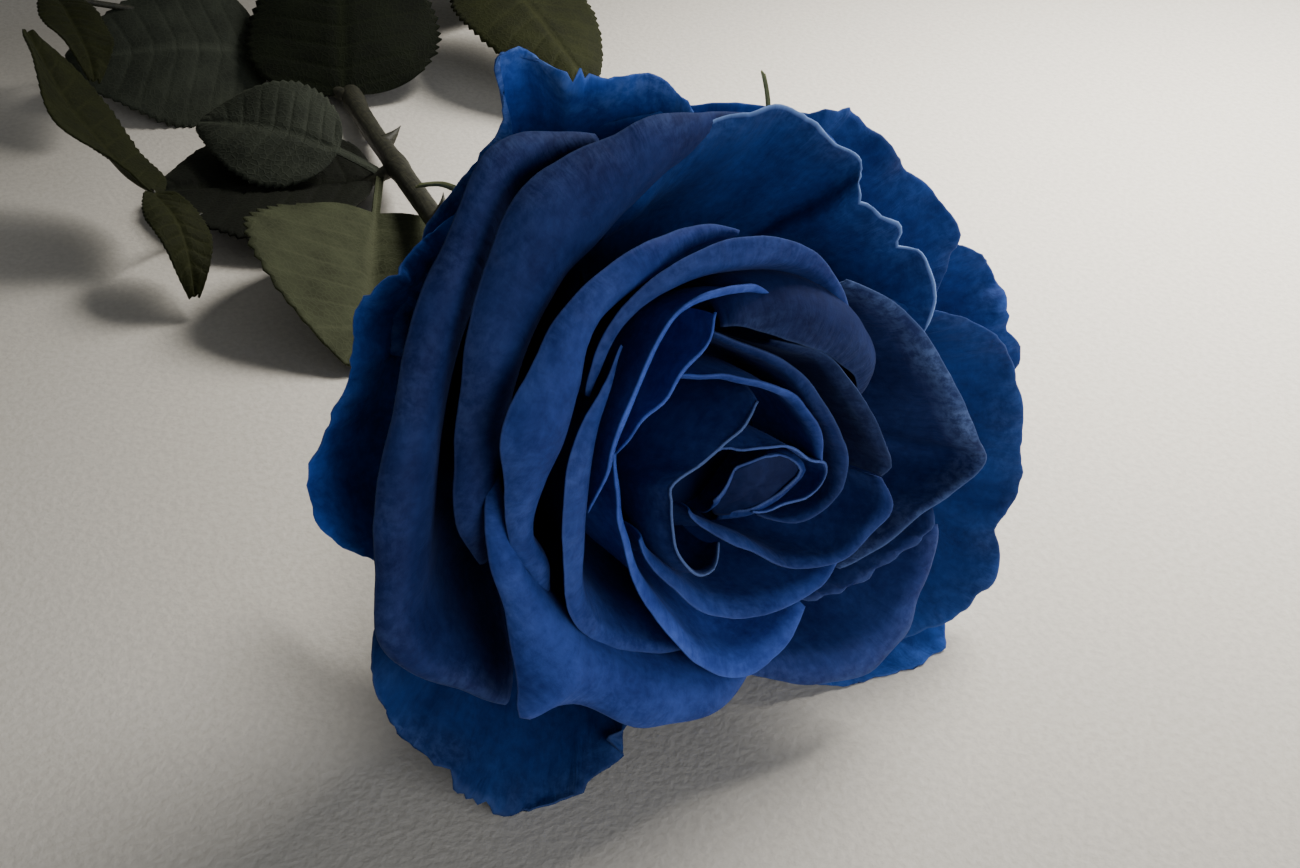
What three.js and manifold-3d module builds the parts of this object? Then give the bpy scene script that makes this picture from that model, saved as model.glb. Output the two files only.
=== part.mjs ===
// A cut rose lying on its side: one full-blown bloom, its hip with five sepals, a thorny stem and
// three compound leaves. Millimetres, +Z up. The bloom looks towards -Y and a little upwards, the
// stem runs away towards +Y, and everything rests on the plane z = 0.
import * as THREE from 'three';
import { mergeVertices } from 'three/addons/utils/BufferGeometryUtils.js';
import Module from 'manifold-3d';

const wasm = await Module();
wasm.setup();

// ---- Driving dimensions ---------------------------------------------------------------------------
// Plan positions count from under the bloom's base; FOOTPRINT_CENTRE moves the middle of the whole
// flower's box to the origin.
const FOOTPRINT_CENTRE = [22.85, 76.6];
const BLOOM_BASE = new THREE.Vector3(0, 0, 31.5); // where the petals join the hip
const BLOOM_TILT = 19; // degrees by which the bloom's mouth looks up from level
const PETAL_THICKNESS = 0.75;
const LEAF_THICKNESS = 0.8;
const SEAT_GAP = 0.3; // left between two pieces that touch on the real flower

// ---- The bloom's own frame ------------------------------------------------------------------------
// A petal is drawn in cylindrical coordinates round the bloom's axis: azimuth (0 = +X, 90 = upwards),
// radius from the axis, and height from the base towards the mouth.
const deg = THREE.MathUtils.degToRad;
const tilt = deg(BLOOM_TILT);
const AXIS = new THREE.Vector3(0, -Math.cos(tilt), Math.sin(tilt));
const ACROSS = new THREE.Vector3(1, 0, 0);
const UPWARDS = new THREE.Vector3().crossVectors(AXIS, ACROSS);

function inBloom(azimuth, radius, height) {
  const angle = deg(azimuth);
  return BLOOM_BASE.clone()
    .addScaledVector(ACROSS, radius * Math.cos(angle))
    .addScaledVector(UPWARDS, radius * Math.sin(angle))
    .addScaledVector(AXIS, height);
}

// A lathe profile of [radius, height] pairs, turned round the bloom's axis.
function turnedInBloom(profile, sides) {
  const points = profile.map(([radius, height]) => new THREE.Vector2(radius, height));
  return new THREE.LatheGeometry(points, sides)
    .rotateX(Math.PI - tilt)
    .translate(BLOOM_BASE.x, BLOOM_BASE.y, BLOOM_BASE.z);
}

// ---- Curves ---------------------------------------------------------------------------------------
function hermite(from, leaving, to, arriving, t) {
  const t2 = t * t;
  const t3 = t2 * t;
  return (2 * t3 - 3 * t2 + 1) * from + (t3 - 2 * t2 + t) * leaving
    + (3 * t2 - 2 * t3) * to + (t3 - t2) * arriving;
}

// A smooth curve through stations, which are lists of numbers, spaced by how far apart they lie.
function throughStations(stations, distance) {
  const at = [0];
  for (let i = 1; i < stations.length; i += 1) {
    at.push(at[i - 1] + Math.max(distance(stations[i - 1], stations[i]), 1e-3));
  }
  const last = stations.length - 1;
  const slope = (i, k) => {
    const before = Math.max(i - 1, 0);
    const after = Math.min(i + 1, last);
    return (stations[after][k] - stations[before][k]) / (at[after] - at[before]);
  };
  return (u) => {
    const s = u * at[last];
    let i = 0;
    while (i < last - 1 && s > at[i + 1]) i += 1;
    const gap = at[i + 1] - at[i];
    const t = (s - at[i]) / gap;
    return stations[i].map((value, k) => hermite(
      value, slope(i, k) * gap, stations[i + 1][k], slope(i + 1, k) * gap, t));
  };
}

function crestDistance([azimuthA, radiusA, heightA], [azimuthB, radiusB, heightB]) {
  return inBloom(azimuthA, radiusA, heightA).distanceTo(inBloom(azimuthB, radiusB, heightB));
}

// ---- Solids ---------------------------------------------------------------------------------------
// A closed sheet of even thickness round a grid of points. Both faces are split into like triangles.
function sheetSolid(rows, thickness) {
  const across = rows.length;
  const along = rows[0].length;
  const points = [];
  for (const side of [0.5, -0.5]) {
    for (let i = 0; i < across; i += 1) {
      for (let j = 0; j < along; j += 1) {
        const du = rows[Math.min(i + 1, across - 1)][j].clone().sub(rows[Math.max(i - 1, 0)][j]);
        const dv = rows[i][Math.min(j + 1, along - 1)].clone().sub(rows[i][Math.max(j - 1, 0)]);
        const normal = du.cross(dv).normalize();
        points.push(rows[i][j].clone().addScaledVector(normal, side * thickness));
      }
    }
  }
  const at = (i, j, face) => (face * across + i) * along + j;
  const index = [];
  const quad = (a, b, c, d) => index.push(a, b, c, a, c, d);
  for (let i = 0; i < across - 1; i += 1) {
    for (let j = 0; j < along - 1; j += 1) {
      quad(at(i, j, 0), at(i + 1, j, 0), at(i + 1, j + 1, 0), at(i, j + 1, 0));
      index.push(at(i, j, 1), at(i + 1, j + 1, 1), at(i + 1, j, 1));
      index.push(at(i, j, 1), at(i, j + 1, 1), at(i + 1, j + 1, 1));
    }
    const top = along - 1;
    quad(at(i, 0, 0), at(i, 0, 1), at(i + 1, 0, 1), at(i + 1, 0, 0));
    quad(at(i, top, 0), at(i + 1, top, 0), at(i + 1, top, 1), at(i, top, 1));
  }
  for (let j = 0; j < along - 1; j += 1) {
    const end = across - 1;
    quad(at(0, j, 0), at(0, j + 1, 0), at(0, j + 1, 1), at(0, j, 1));
    quad(at(end, j, 0), at(end, j, 1), at(end, j + 1, 1), at(end, j + 1, 0));
  }
  const geometry = new THREE.BufferGeometry().setFromPoints(points);
  geometry.setIndex(index);
  return geometry;
}

// A round, closed rod along a curve; radiusAt gives its radius from 0 at the start to 1 at the end.
function rodSolid(curve, steps, sides, radiusAt) {
  const { normals, binormals } = curve.computeFrenetFrames(steps, false);
  const points = [];
  for (let i = 0; i <= steps; i += 1) {
    const centre = curve.getPointAt(i / steps);
    for (let k = 0; k < sides; k += 1) {
      const angle = (2 * Math.PI * k) / sides;
      points.push(centre.clone()
        .addScaledVector(normals[i], radiusAt(i / steps) * Math.cos(angle))
        .addScaledVector(binormals[i], radiusAt(i / steps) * Math.sin(angle)));
    }
  }
  points.push(curve.getPointAt(0), curve.getPointAt(1));
  const index = [];
  const startCentre = points.length - 2;
  const endCentre = points.length - 1;
  for (let k = 0; k < sides; k += 1) {
    const next = (k + 1) % sides;
    for (let i = 0; i < steps; i += 1) {
      const [a, b] = [i * sides + k, i * sides + next];
      index.push(a, b, b + sides, a, b + sides, a + sides);
    }
    index.push(startCentre, next, k);
    index.push(endCentre, steps * sides + k, steps * sides + next);
  }
  const geometry = new THREE.BufferGeometry().setFromPoints(points);
  geometry.setIndex(index);
  return geometry;
}

function toSolid(geometry) {
  const bare = geometry.clone();
  bare.deleteAttribute('normal');
  bare.deleteAttribute('uv');
  const merged = mergeVertices(bare, 1e-4);
  return new wasm.Manifold(new wasm.Mesh({
    numProp: 3,
    vertProperties: Float32Array.from(merged.attributes.position.array),
    triVerts: Uint32Array.from(merged.index.array),
  }));
}

function toGeometry(solid) {
  const mesh = solid.getMesh();
  const geometry = new THREE.BufferGeometry();
  geometry.setAttribute('position', new THREE.BufferAttribute(mesh.vertProperties, 3));
  geometry.setIndex(new THREE.BufferAttribute(mesh.triVerts, 1));
  return geometry;
}

function joined(geometries) {
  return wasm.Manifold.union(geometries.map(toSolid));
}

// Cuts a solid off flat at the plane it rests on, and drops slivers and scraps.
const SLIVER = 0.04;
function laidDown(solid) {
  const bodies = solid.trimByPlane([0, 0, 1], 0).simplify(SLIVER).decompose();
  return bodies.sort((a, b) => b.volume() - a.volume())[0];
}

// ---- Petals ---------------------------------------------------------------------------------------
// root: azimuth of the claw. belly: radius of the petal's cup. lean: slope of the blade at its crest,
// 90 upright, less opens outwards, more closes over the heart. curl: slope at the end of the lip.
// gather: share of its width that the claw keeps, GATHER where none is given.
// crest: stations along the crest, each [azimuth, radius, height, length of the lip that rolls over].
const PETALS = [
  { name: 'heart', root: 170, belly: 6.5, lean: 150, curl: 175, gather: 0.15,
    crest: [[262, 6.5, 36, 0.3], [302, 3, 38.5, 0.3], [345, 5.5, 40, 0.3], [334, 11, 40, 0.3],
      [320, 10, 39.5, 0.3], [304, 10, 38, 0.3], [274, 9.5, 34, 0.3]] },
  { name: 'bud_cap', root: 70, belly: 7.5, lean: 105, curl: 60,
    crest: [[145, 2, 40, 0.3], [60, 1.5, 41.5, 0.6], [15, 3.5, 42, 1], [-2, 6.5, 42, 1.4],
      [-15, 10, 41.5, 1.4], [-21, 13, 41, 0.8], [-30, 14.5, 40, 0.4], [-41, 14, 39, 0.3],
      [-52, 12, 38, 0.3], [-68, 10, 37, 0.3]] },
  { name: 'bud_wrap', root: 180, belly: 9, lean: 118, curl: 60,
    crest: [[52, 7.5, 41, 0.3], [71, 6, 42.5, 0.8], [93, 4.5, 43, 0.8], [141, 4, 43, 0.4],
      [167, 5.5, 43, 0.3], [177, 10, 43, 0.3], [192, 10.5, 42, 1], [209, 11.5, 41, 1.8],
      [226, 12.5, 40, 2], [243, 14, 39, 1.6], [262, 12.5, 37, 0.5]] },
  { name: 'collar_1', root: 60, belly: 10.5, lean: 95, curl: 40,
    crest: [[115, 13.5, 41, 1.2], [104, 12, 42, 1.3], [83, 10, 42.5, 1.3], [59, 9.5, 43, 1.2],
      [34, 9.5, 43, 1.2], [12, 10, 43, 1.1], [-6, 11, 42, 0.9], [-18, 12.5, 41, 0.5]] },
  { name: 'collar_2', root: 20, belly: 11.5, lean: 88, curl: 30,
    crest: [[91, 16, 41, 0.8], [80, 14, 42, 1], [64, 12.5, 43, 1.2], [44, 11.5, 43.5, 1.3],
      [20, 11, 43.5, 1.4], [-2, 12.5, 43, 1.3], [-17, 14.5, 42, 1.1], [-34, 16.5, 40, 0.7],
      [-52, 14.5, 38, 1], [-66, 11, 36, 0.4]] },
  { name: 'collar_3', root: 25, belly: 13, lean: 82, curl: 30,
    crest: [[64, 14.5, 42, 0.8], [52, 14.5, 43, 1.2], [37, 15, 43.5, 1.4], [22, 15, 44, 1.5],
      [6, 16, 44, 1.5], [-9, 18, 43.5, 1.4], [-19, 20.5, 43, 1], [-23, 21, 42, 0.5]] },
  { name: 'cup_1', root: 300, belly: 13.5, lean: 80, curl: 20,
    crest: [[336, 21, 42, 0.5], [328, 23, 41.5, 1.4], [317, 22.5, 40.5, 1.3], [307, 22, 39.5, 1.2],
      [295, 18, 38, 2], [286, 15, 38, 2], [272, 11, 38, 1.8], [249, 8.5, 38.5, 1.2],
      [219, 7.5, 39, 0.5]] },
  { name: 'cup_2', root: 265, belly: 14.5, lean: 76, curl: 20,
    crest: [[204, 14, 39, 0.8], [220, 14.5, 38.5, 1.5], [236, 15.5, 38, 2], [252, 17.5, 37.5, 2.4],
      [275, 20, 37, 2.4], [295, 22.5, 37.5, 1.6], [306, 23.5, 38, 0.6]] },
  { name: 'cup_3', root: 235, belly: 15.5, lean: 72, curl: 10,
    crest: [[156, 16, 41, 0.5], [170, 15.5, 41, 0.6], [185, 15.5, 40.5, 0.9], [202, 16, 40, 1.4],
      [223, 18, 39, 2], [239, 20.5, 38, 2.6], [252, 23.5, 37, 3.2], [265, 26, 36, 3.6],
      [278, 26, 36, 2.8], [290, 25, 36.5, 1]] },
  { name: 'fold_1', root: 130, belly: 14.5, lean: 92, curl: 40,
    crest: [[94, 19.5, 45, 0.6], [99, 17, 44.5, 1.3], [110, 15.5, 44, 1.6], [124, 14.5, 43.5, 1.8],
      [138, 15, 43, 1.7], [158, 16, 41, 0.6]] },
  { name: 'fold_2', root: 125, belly: 15.5, lean: 90, curl: 30,
    crest: [[70, 20, 43.5, 0.6], [81, 21, 44.5, 1.3], [97, 22, 45, 1.5], [106, 21.5, 44.5, 1.1],
      [114, 20, 44, 1.5], [121, 19, 43.5, 1.9], [132, 18, 43, 2], [144, 17, 42.5, 2],
      [157, 17, 41.5, 1.7], [167, 17, 40.5, 1.4], [182, 18.5, 38.5, 0.5]] },
  { name: 'hood', root: 45, belly: 16, lean: 150, curl: 215,
    crest: [[89, 18, 43, 1], [84, 19.5, 44.5, 2.5], [74, 20, 45, 4], [62, 20.5, 45.5, 5],
      [38, 21, 45, 5], [26, 21, 44, 4], [17, 21, 43, 2.8], [9, 19.5, 41.8, 1.5], [2, 17.5, 39.5, 0.5]] },
  { name: 'fold_3', root: 200, belly: 17, lean: 60, curl: -20,
    crest: [[124, 22.5, 43.5, 0.5], [135, 21, 43, 1], [147, 20, 42.5, 2.8], [160, 19.5, 42, 4.2],
      [175, 19.5, 41, 4.4], [191, 21, 40, 4], [210, 24, 38, 3.2], [233, 24.5, 36, 2],
      [253, 25, 35, 0.6]] },
  { name: 'fold_4', root: 110, belly: 18.5, lean: 70, curl: -20,
    crest: [[141, 21.5, 41, 1], [134, 22.5, 42, 2], [120, 24.5, 43.5, 2.4], [104, 24.5, 44.5, 3.6],
      [82, 24, 44.5, 4.4], [60, 24, 44, 2.8], [51, 23.5, 43.5, 2], [35, 22, 41.5, 0.8]] },
  { name: 'mid_left', root: 150, belly: 20, lean: 70, curl: -50,
    crest: [[78, 27, 41, 0.6], [87, 27, 42, 2.6], [105, 26.5, 43, 4.8], [122, 27, 43, 5.2],
      [130, 26, 43, 7], [140, 24, 42.5, 9], [154, 23.5, 42, 10.5], [166, 24.5, 41, 7],
      [182, 26, 39, 4], [192, 25, 37.5, 3], [201, 26, 36, 1]] },
  { name: 'mid_right', root: 15, belly: 19.5, lean: 62, curl: 10,
    crest: [[40, 25.5, 40, 0.6], [24, 27.5, 41, 1.4], [3, 30.5, 41, 1.8], [-7, 33, 40.5, 2],
      [-15, 36, 40, 2], [-20, 39.5, 39, 1.2], [-27, 35, 39, 1], [-33, 31.5, 38.5, 1],
      [-41, 29, 38, 1], [-55, 25.5, 37, 0.6]] },
  { name: 'mid_low', root: 255, belly: 22, lean: 60, curl: -60,
    crest: [[160, 27.5, 34, 0.6], [172, 28.5, 37.5, 2.4], [183, 28.5, 39, 4], [194, 28, 39, 5.4],
      [203, 27.7, 39, 8], [210, 27.5, 39, 10.8], [215, 27.4, 38.9, 14], [219, 27.3, 38.8, 10.5],
      [225, 27, 38.5, 9.2], [242, 27.5, 38, 8.5], [258, 28.5, 37, 7], [269, 30, 36, 1]] },
  { name: 'crinkle', root: 320, belly: 21, lean: 58, curl: 0,
    crest: [[329, 34, 38.6, 0.5], [325, 34.8, 38.5, 0.6], [318, 31.6, 38.5, 0.8], [311, 29.5, 38.4, 0.8],
      [303, 27.8, 38, 0.8], [295, 25.5, 37.5, 0.8], [287, 23.5, 36, 0.6]] },
  { name: 'mid_low_right', root: 295, belly: 23.5, lean: 50, curl: -40,
    crest: [[262, 27.5, 35, 1], [274, 29, 36.5, 3.4], [283, 32, 37, 4.8], [292, 35, 37, 5],
      [300, 37.2, 36.9, 4.6], [313, 36.6, 37.4, 3.4], [320, 35.6, 37.6, 2.4], [326, 35, 38, 1.2]] },
  { name: 'out_left', root: 135, belly: 25, lean: 45, curl: -60,
    crest: [[70, 40, 34, 0.5], [82, 38, 37.5, 3], [90, 36.5, 38.5, 5.6], [99, 34.5, 39, 8],
      [109, 33, 39.5, 10.5], [118, 33, 40, 11], [127, 32, 40, 9.5], [145, 30, 39, 7],
      [165, 29, 37, 5.6], [176, 29.5, 36, 4.6], [188, 30.5, 34, 1.2]] },
  { name: 'out_top', root: 60, belly: 23.5, lean: 38, curl: -20,
    crest: [[103, 30, 32, 2], [95, 32, 35, 2], [86, 36, 36.5, 2.5], [73, 40, 38, 1],
      [67, 41.5, 38, 0.5], [55, 39.5, 37, 0.4], [47, 39.5, 36, 0.4], [45, 36.5, 36.5, 0.4],
      [37, 36, 36, 0.4], [29, 37, 35.5, 1], [14, 36.5, 35.5, 0.5], [-4, 31, 31, 0.4]] },
  { name: 'far_left', root: 160, belly: 27.5, lean: 35, curl: -70,
    crest: [[98, 39, 32, 1.6], [109, 41.5, 34, 4.4], [116, 42.5, 35, 4.6], [124, 40, 35.5, 5],
      [132, 39, 36, 4.8], [152, 37, 36, 5.2], [163, 37, 36, 5.6], [174, 38, 35.5, 5.5],
      [184, 40, 35, 5], [191, 42, 34.5, 4.6], [198, 41.5, 34, 4.2], [207, 39.5, 33, 2.2],
      [217, 38.5, 32, 0.6]] },
  { name: 'guard_top', root: 104, belly: 28.5, lean: 25, curl: -20,
    crest: [[150, 33, 13, 0.4], [128, 38, 17, 0.4], [108, 42, 20, 0.4], [104, 46, 21, 0.4],
      [103, 50.5, 22, 0.4], [99, 49, 24, 0.4], [94, 45.5, 25, 0.4], [88, 44.5, 26, 0.4],
      [81, 43.5, 27, 0.4], [73, 38, 26, 0.4], [58, 32, 16, 0.4]] },
  { name: 'guard_top_right', root: 70, belly: 26, lean: 25, curl: -20,
    crest: [[112, 32, 13, 0.4], [96, 38, 20, 0.4], [83, 39, 24, 0.4], [67, 41, 26, 0.4],
      [54, 42, 28, 0.4], [42, 41, 26, 0.4], [26, 34, 16, 0.4]] },
  { name: 'guard_right_high', root: 28, belly: 29, lean: 25, curl: -20,
    crest: [[76, 34, 14, 0.4], [60, 40, 23, 0.4], [50, 43.5, 27, 0.8], [45, 45.5, 27, 1.2],
      [33, 45, 27, 1.5], [23, 47.5, 27, 1.2], [14, 48.5, 26, 0.5], [0, 43, 20, 0.4],
      [-16, 35, 13, 0.4]] },
  { name: 'guard_right', root: -4, belly: 31, lean: 20, curl: -20,
    crest: [[32, 36, 14, 0.4], [20, 44, 21, 0.4], [13, 49.5, 24, 0.4], [8, 53.5, 24, 0.4],
      [3, 56, 23, 0.4], [-2, 54.5, 24, 0.6], [-8, 58.5, 24, 0.6], [-14, 54, 21, 0.4],
      [-26, 44, 17, 0.4], [-38, 35, 12, 0.4]] },
  { name: 'guard_right_low', root: -20, belly: 26, lean: 32, curl: -10,
    crest: [[20, 29, 30, 0.6], [11, 35.5, 33.5, 1.4], [2, 43, 34, 2], [-6, 48, 33, 1.6],
      [-17, 51, 32, 1], [-26, 55, 31, 0.5], [-32, 53, 31, 0.4], [-36, 56, 30, 0.4],
      [-43, 55.5, 30, 0.4], [-54, 49, 29, 0.4], [-68, 39, 24, 0.4], [-80, 32, 16, 0.4]] },
  { name: 'guard_low_right', root: 300, belly: 28.5, lean: 22, curl: -20,
    crest: [[336, 36, 15, 0.4], [322, 46, 22, 0.4], [314, 52.5, 26, 0.6], [309, 54.8, 29.6, 0.8],
      [304, 52.8, 30.5, 0.6], [299, 51.4, 29.2, 0.4], [293, 46.4, 29, 0.4], [282, 38, 25, 0.4],
      [268, 32, 15, 0.4]] },
  { name: 'guard_under', root: 262, belly: 25.5, lean: 35, curl: 0,
    crest: [[222, 30, 14, 0.4], [238, 33, 21, 0.4], [255, 34, 25, 0.4], [272, 34, 25, 0.4],
      [288, 33, 21, 0.4], [302, 30, 14, 0.4]] },
  { name: 'guard_bottom', root: 226, belly: 29.5, lean: 20, curl: -20,
    crest: [[186, 36, 14, 0.4], [196, 42, 21, 0.4], [201, 47, 25, 0.4], [207, 48.5, 24.5, 0.4],
      [218, 50, 24, 0.4], [226, 51.5, 23.5, 0.4], [233, 52, 24.5, 0.4], [239, 50.7, 25.6, 0.4],
      [243, 46.5, 27, 0.4], [247, 39, 29, 0.4], [262, 33, 22, 0.4]] },
  { name: 'guard_left', root: 155, belly: 30.5, lean: 15, curl: -20,
    crest: [[112, 33, 12, 0.4], [124, 38, 19, 0.4], [136, 41, 22, 0.4], [142, 42.5, 20, 0.4],
      [150, 40.5, 20, 0.4], [158, 40.5, 19, 0.4], [166, 44, 19, 0.4], [173, 44.5, 19, 0.4],
      [180, 43.5, 21, 0.4], [188, 39, 21, 0.4], [202, 33, 13, 0.4]] },
];

const CUP_ROWS = 2; // claw to belly
const BLADE_ROWS = 2; // belly to crest
const LONG_LIP = 2.5; // shorter lips are one straight row
const SHORTEST_LIP = 0.3;
const FEWEST_COLUMNS = 6;
const MOST_COLUMNS = 10;
const GATHER = 0.5;
const BELLY_AT = 0.42; // share of the way from claw to crest where a petal's cup is widest
const FULL_WIDTH_AT = 0.65; // the same for where its width is that of its crest

// [radius, height] of the foot of a petal: a wider cup starts further out and lower on the receptacle.
function clawOf(belly) {
  return [3 + 0.12 * belly, Math.max(3, 9 - 0.22 * belly)];
}

function petalPoints({ root, belly, lean, curl, gather = GATHER, crest }) {
  const along = throughStations(crest, crestDistance);
  const columns = THREE.MathUtils.clamp(crest.length - 1, FEWEST_COLUMNS, MOST_COLUMNS);
  const lipRows = Math.max(...crest.map((station) => station[3])) > LONG_LIP ? 2 : 1;
  const claw = clawOf(belly);
  const rows = [];
  for (let i = 0; i <= columns; i += 1) {
    const [azimuth, radius, height, lip] = along(i / columns);
    const widest = [belly, THREE.MathUtils.lerp(claw[1], height, BELLY_AT)];
    const span = Math.hypot(radius - claw[0], height - claw[1]);
    const rise = [(radius - claw[0]) / span, (height - claw[1]) / span];
    const lower = Math.hypot(widest[0] - claw[0], widest[1] - claw[1]);
    const upper = Math.hypot(radius - widest[0], height - widest[1]);
    const slope = deg(lean);
    const profile = [];
    for (let k = 0; k < CUP_ROWS; k += 1) {
      const t = k / CUP_ROWS;
      profile.push([hermite(claw[0], lower, widest[0], rise[0] * lower, t),
        hermite(claw[1], 0, widest[1], rise[1] * lower, t)]);
    }
    for (let k = 0; k <= BLADE_ROWS; k += 1) {
      const t = k / BLADE_ROWS;
      profile.push([hermite(widest[0], rise[0] * upper, radius, Math.cos(slope) * upper, t),
        hermite(widest[1], rise[1] * upper, height, Math.sin(slope) * upper, t)]);
    }
    const turn = deg(curl - lean);
    for (let k = 0; k < lipRows; k += 1) {
      const direction = slope + (turn * (k + 0.5)) / lipRows;
      const [r, z] = profile[profile.length - 1];
      const step = Math.max(lip, SHORTEST_LIP) / lipRows;
      profile.push([r + step * Math.cos(direction), z + step * Math.sin(direction)]);
    }
    rows.push(profile.map(([r, z], k) => {
      const v = Math.min(k / (CUP_ROWS + BLADE_ROWS), 1);
      const spread = gather + (1 - gather) * THREE.MathUtils.smoothstep(v, 0, FULL_WIDTH_AT);
      return inBloom(root + (azimuth - root) * spread, r, z);
    }));
  }
  return rows;
}

// The receptacle and the packed foot of the petals: the part of the bloom that no light reaches.
const CORE = [[0, 2], [7.5, 2], [12, 5], [15.5, 12], [16, 20], [13, 27], [8, 30], [0, 31]];
const CORE_SIDES = 16;

function bloom() {
  const petals = PETALS.map((petal) => sheetSolid(petalPoints(petal), PETAL_THICKNESS));
  return laidDown(joined([turnedInBloom(CORE, CORE_SIDES), ...petals]));
}

// ---- Hip and sepals -------------------------------------------------------------------------------
const HIP_TOP = 2 - SEAT_GAP;
const HIP_FOOT = -8;
const HIP = [[0, HIP_FOOT], [2.8, HIP_FOOT], [4.6, -5.6], [6, -3], [6.2, -0.5], [5.4, HIP_TOP],
  [0, HIP_TOP]];
const HIP_SIDES = 12;

// Each sepal runs out behind the petals. Stations: [radius, height, half width, azimuth].
const SEPALS = [
  [[4, 0.4, 2.4, 45], [9, -0.4, 3.1, 45], [18, -2.5, 2.6, 45], [28, -3.5, 1.6, 43], [38, -1.5, 0.8, 40],
    [46.5, 1, 0.45, 39], [48.2, 2.2, 0.4, 41.5], [50.4, 3.8, 0.35, 46]],
  [[4, 0.4, 2.4, 112], [9, -0.4, 3.1, 112], [17, -3, 2.4, 112], [24, -4.5, 1.3, 109],
    [29.5, -4.3, 0.6, 106], [33.4, -4, 0.4, 109.5], [35.4, -4.4, 0.35, 114.5]],
  [[4, 0.4, 2.4, 189], [9, -0.6, 3.2, 189], [16, -4, 2.8, 189], [22, -9, 2, 190], [26, -15, 1.1, 192],
    [27, -20, 0.4, 194]],
  [[4, 0.4, 2.4, 261], [9, -0.8, 3.2, 261], [14, -4, 2.8, 261], [18, -10, 2, 260], [20, -16, 1.1, 258],
    [19, -22, 0.4, 255]],
  [[4, 0.4, 2.4, 333], [9, -0.4, 3.2, 333], [17, -2.5, 2.7, 333], [26, -5, 1.8, 332], [33, -9, 0.9, 330],
    [37, -13, 0.4, 328]],
];
const SEPAL_COLUMNS = 8;
const SEPAL_FOLD = 0.35; // how far a sepal's margins stand back from its midrib, to its half width

function sepalPoints(stations) {
  const stationDistance = (a, b) => Math.hypot(a[0] - b[0], a[1] - b[1]);
  const along = throughStations(stations, stationDistance);
  const rows = [];
  for (let i = 0; i <= SEPAL_COLUMNS; i += 1) {
    const [radius, height, halfWidth, azimuth] = along(i / SEPAL_COLUMNS);
    const aside = new THREE.Vector3().subVectors(inBloom(azimuth + 90, 1, 0), BLOOM_BASE);
    rows.push([-1, 0, 1].map((side) => inBloom(azimuth, radius, height)
      .addScaledVector(aside, side * halfWidth)
      .addScaledVector(AXIS, -Math.abs(side) * SEPAL_FOLD * halfWidth)));
  }
  return rows;
}

function calyx() {
  const sepals = SEPALS.map((stations) => sheetSolid(sepalPoints(stations), LEAF_THICKNESS));
  return laidDown(joined([turnedInBloom(HIP, HIP_SIDES), ...sepals]));
}

// ---- Stem and thorns ------------------------------------------------------------------------------
const STRAIGHT_NECK = 6;
const STEM_PATH = new THREE.CatmullRomCurve3([
  inBloom(0, 0, HIP_FOOT - SEAT_GAP),
  inBloom(0, 0, HIP_FOOT - STRAIGHT_NECK),
  ...[[2.5, 24, 24], [6.5, 40, 20.2], [11, 57, 17], [14.2, 70, 14.6], [16.8, 84, 12], [20, 99.5, 9],
    [23, 115, 6.5], [26.5, 135, 4], [30.2, 154, 2.7], [35, 172, 2.1], [43, 200, 2],
  ].map((point) => new THREE.Vector3(...point)),
]);
const STEM_STEPS = 26;
const STEM_SIDES = 8;
const NECK_RADIUS = 1.85;
const CUT_END_RADIUS = 2.2;
const LEAF_NODES = [0.555, 0.87, 0.745]; // where the leaves stand on the stem, as shares of its length
const NODE_SWELLING = 0.35;
const NECK_FLARE = 0.6;
const SWELLING_REACH = 0.02; // share of the stem's length over which a swelling or the flare fades

function stemRadius(share) {
  const plain = THREE.MathUtils.lerp(NECK_RADIUS, CUT_END_RADIUS, share);
  const swell = LEAF_NODES.map((node) => Math.exp(-(((share - node) / SWELLING_REACH) ** 2)));
  const flare = Math.exp(-share / SWELLING_REACH);
  return plain + NODE_SWELLING * Math.max(...swell) + NECK_FLARE * flare;
}

// [share of the stem's length, degrees round it from the top]
const THORNS = [[0.2, 70], [0.3, 120], [0.38, 20], [0.62, 60], [0.68, 150], [0.8, -80], [0.92, 60]];
const THORN_LENGTH = 4.2;
const THORN_FOOT = 1.5;
const THORN_POINT = 0.15;
const THORN_SIDES = 6;
const THORN_RAKE = 0.45; // how far a thorn leans along the stem, to its length
const THORN_SEAT = 0.6; // share of the stem's radius at which a thorn's foot is sunk

function thorn([share, round]) {
  const along = STEM_PATH.getTangentAt(share);
  const sideways = new THREE.Vector3(along.y, -along.x, 0).normalize();
  const top = new THREE.Vector3().crossVectors(sideways, along);
  const outward = top.multiplyScalar(Math.cos(deg(round)))
    .addScaledVector(sideways, Math.sin(deg(round)));
  const pointing = outward.clone().addScaledVector(along, THORN_RAKE).normalize();
  const sunk = THORN_SEAT * stemRadius(share);
  const foot = STEM_PATH.getPointAt(share).addScaledVector(outward, sunk);
  const length = THORN_LENGTH + stemRadius(share) - sunk;
  const turn = new THREE.Quaternion().setFromUnitVectors(new THREE.Vector3(0, 1, 0), pointing);
  return new THREE.CylinderGeometry(THORN_POINT, THORN_FOOT, length, THORN_SIDES)
    .translate(0, length / 2, 0)
    .applyQuaternion(turn)
    .translate(foot.x, foot.y, foot.z);
}

function stem() {
  const rod = rodSolid(STEM_PATH, STEM_STEPS, STEM_SIDES, stemRadius);
  return laidDown(joined([rod, ...THORNS.map(thorn)]));
}

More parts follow.
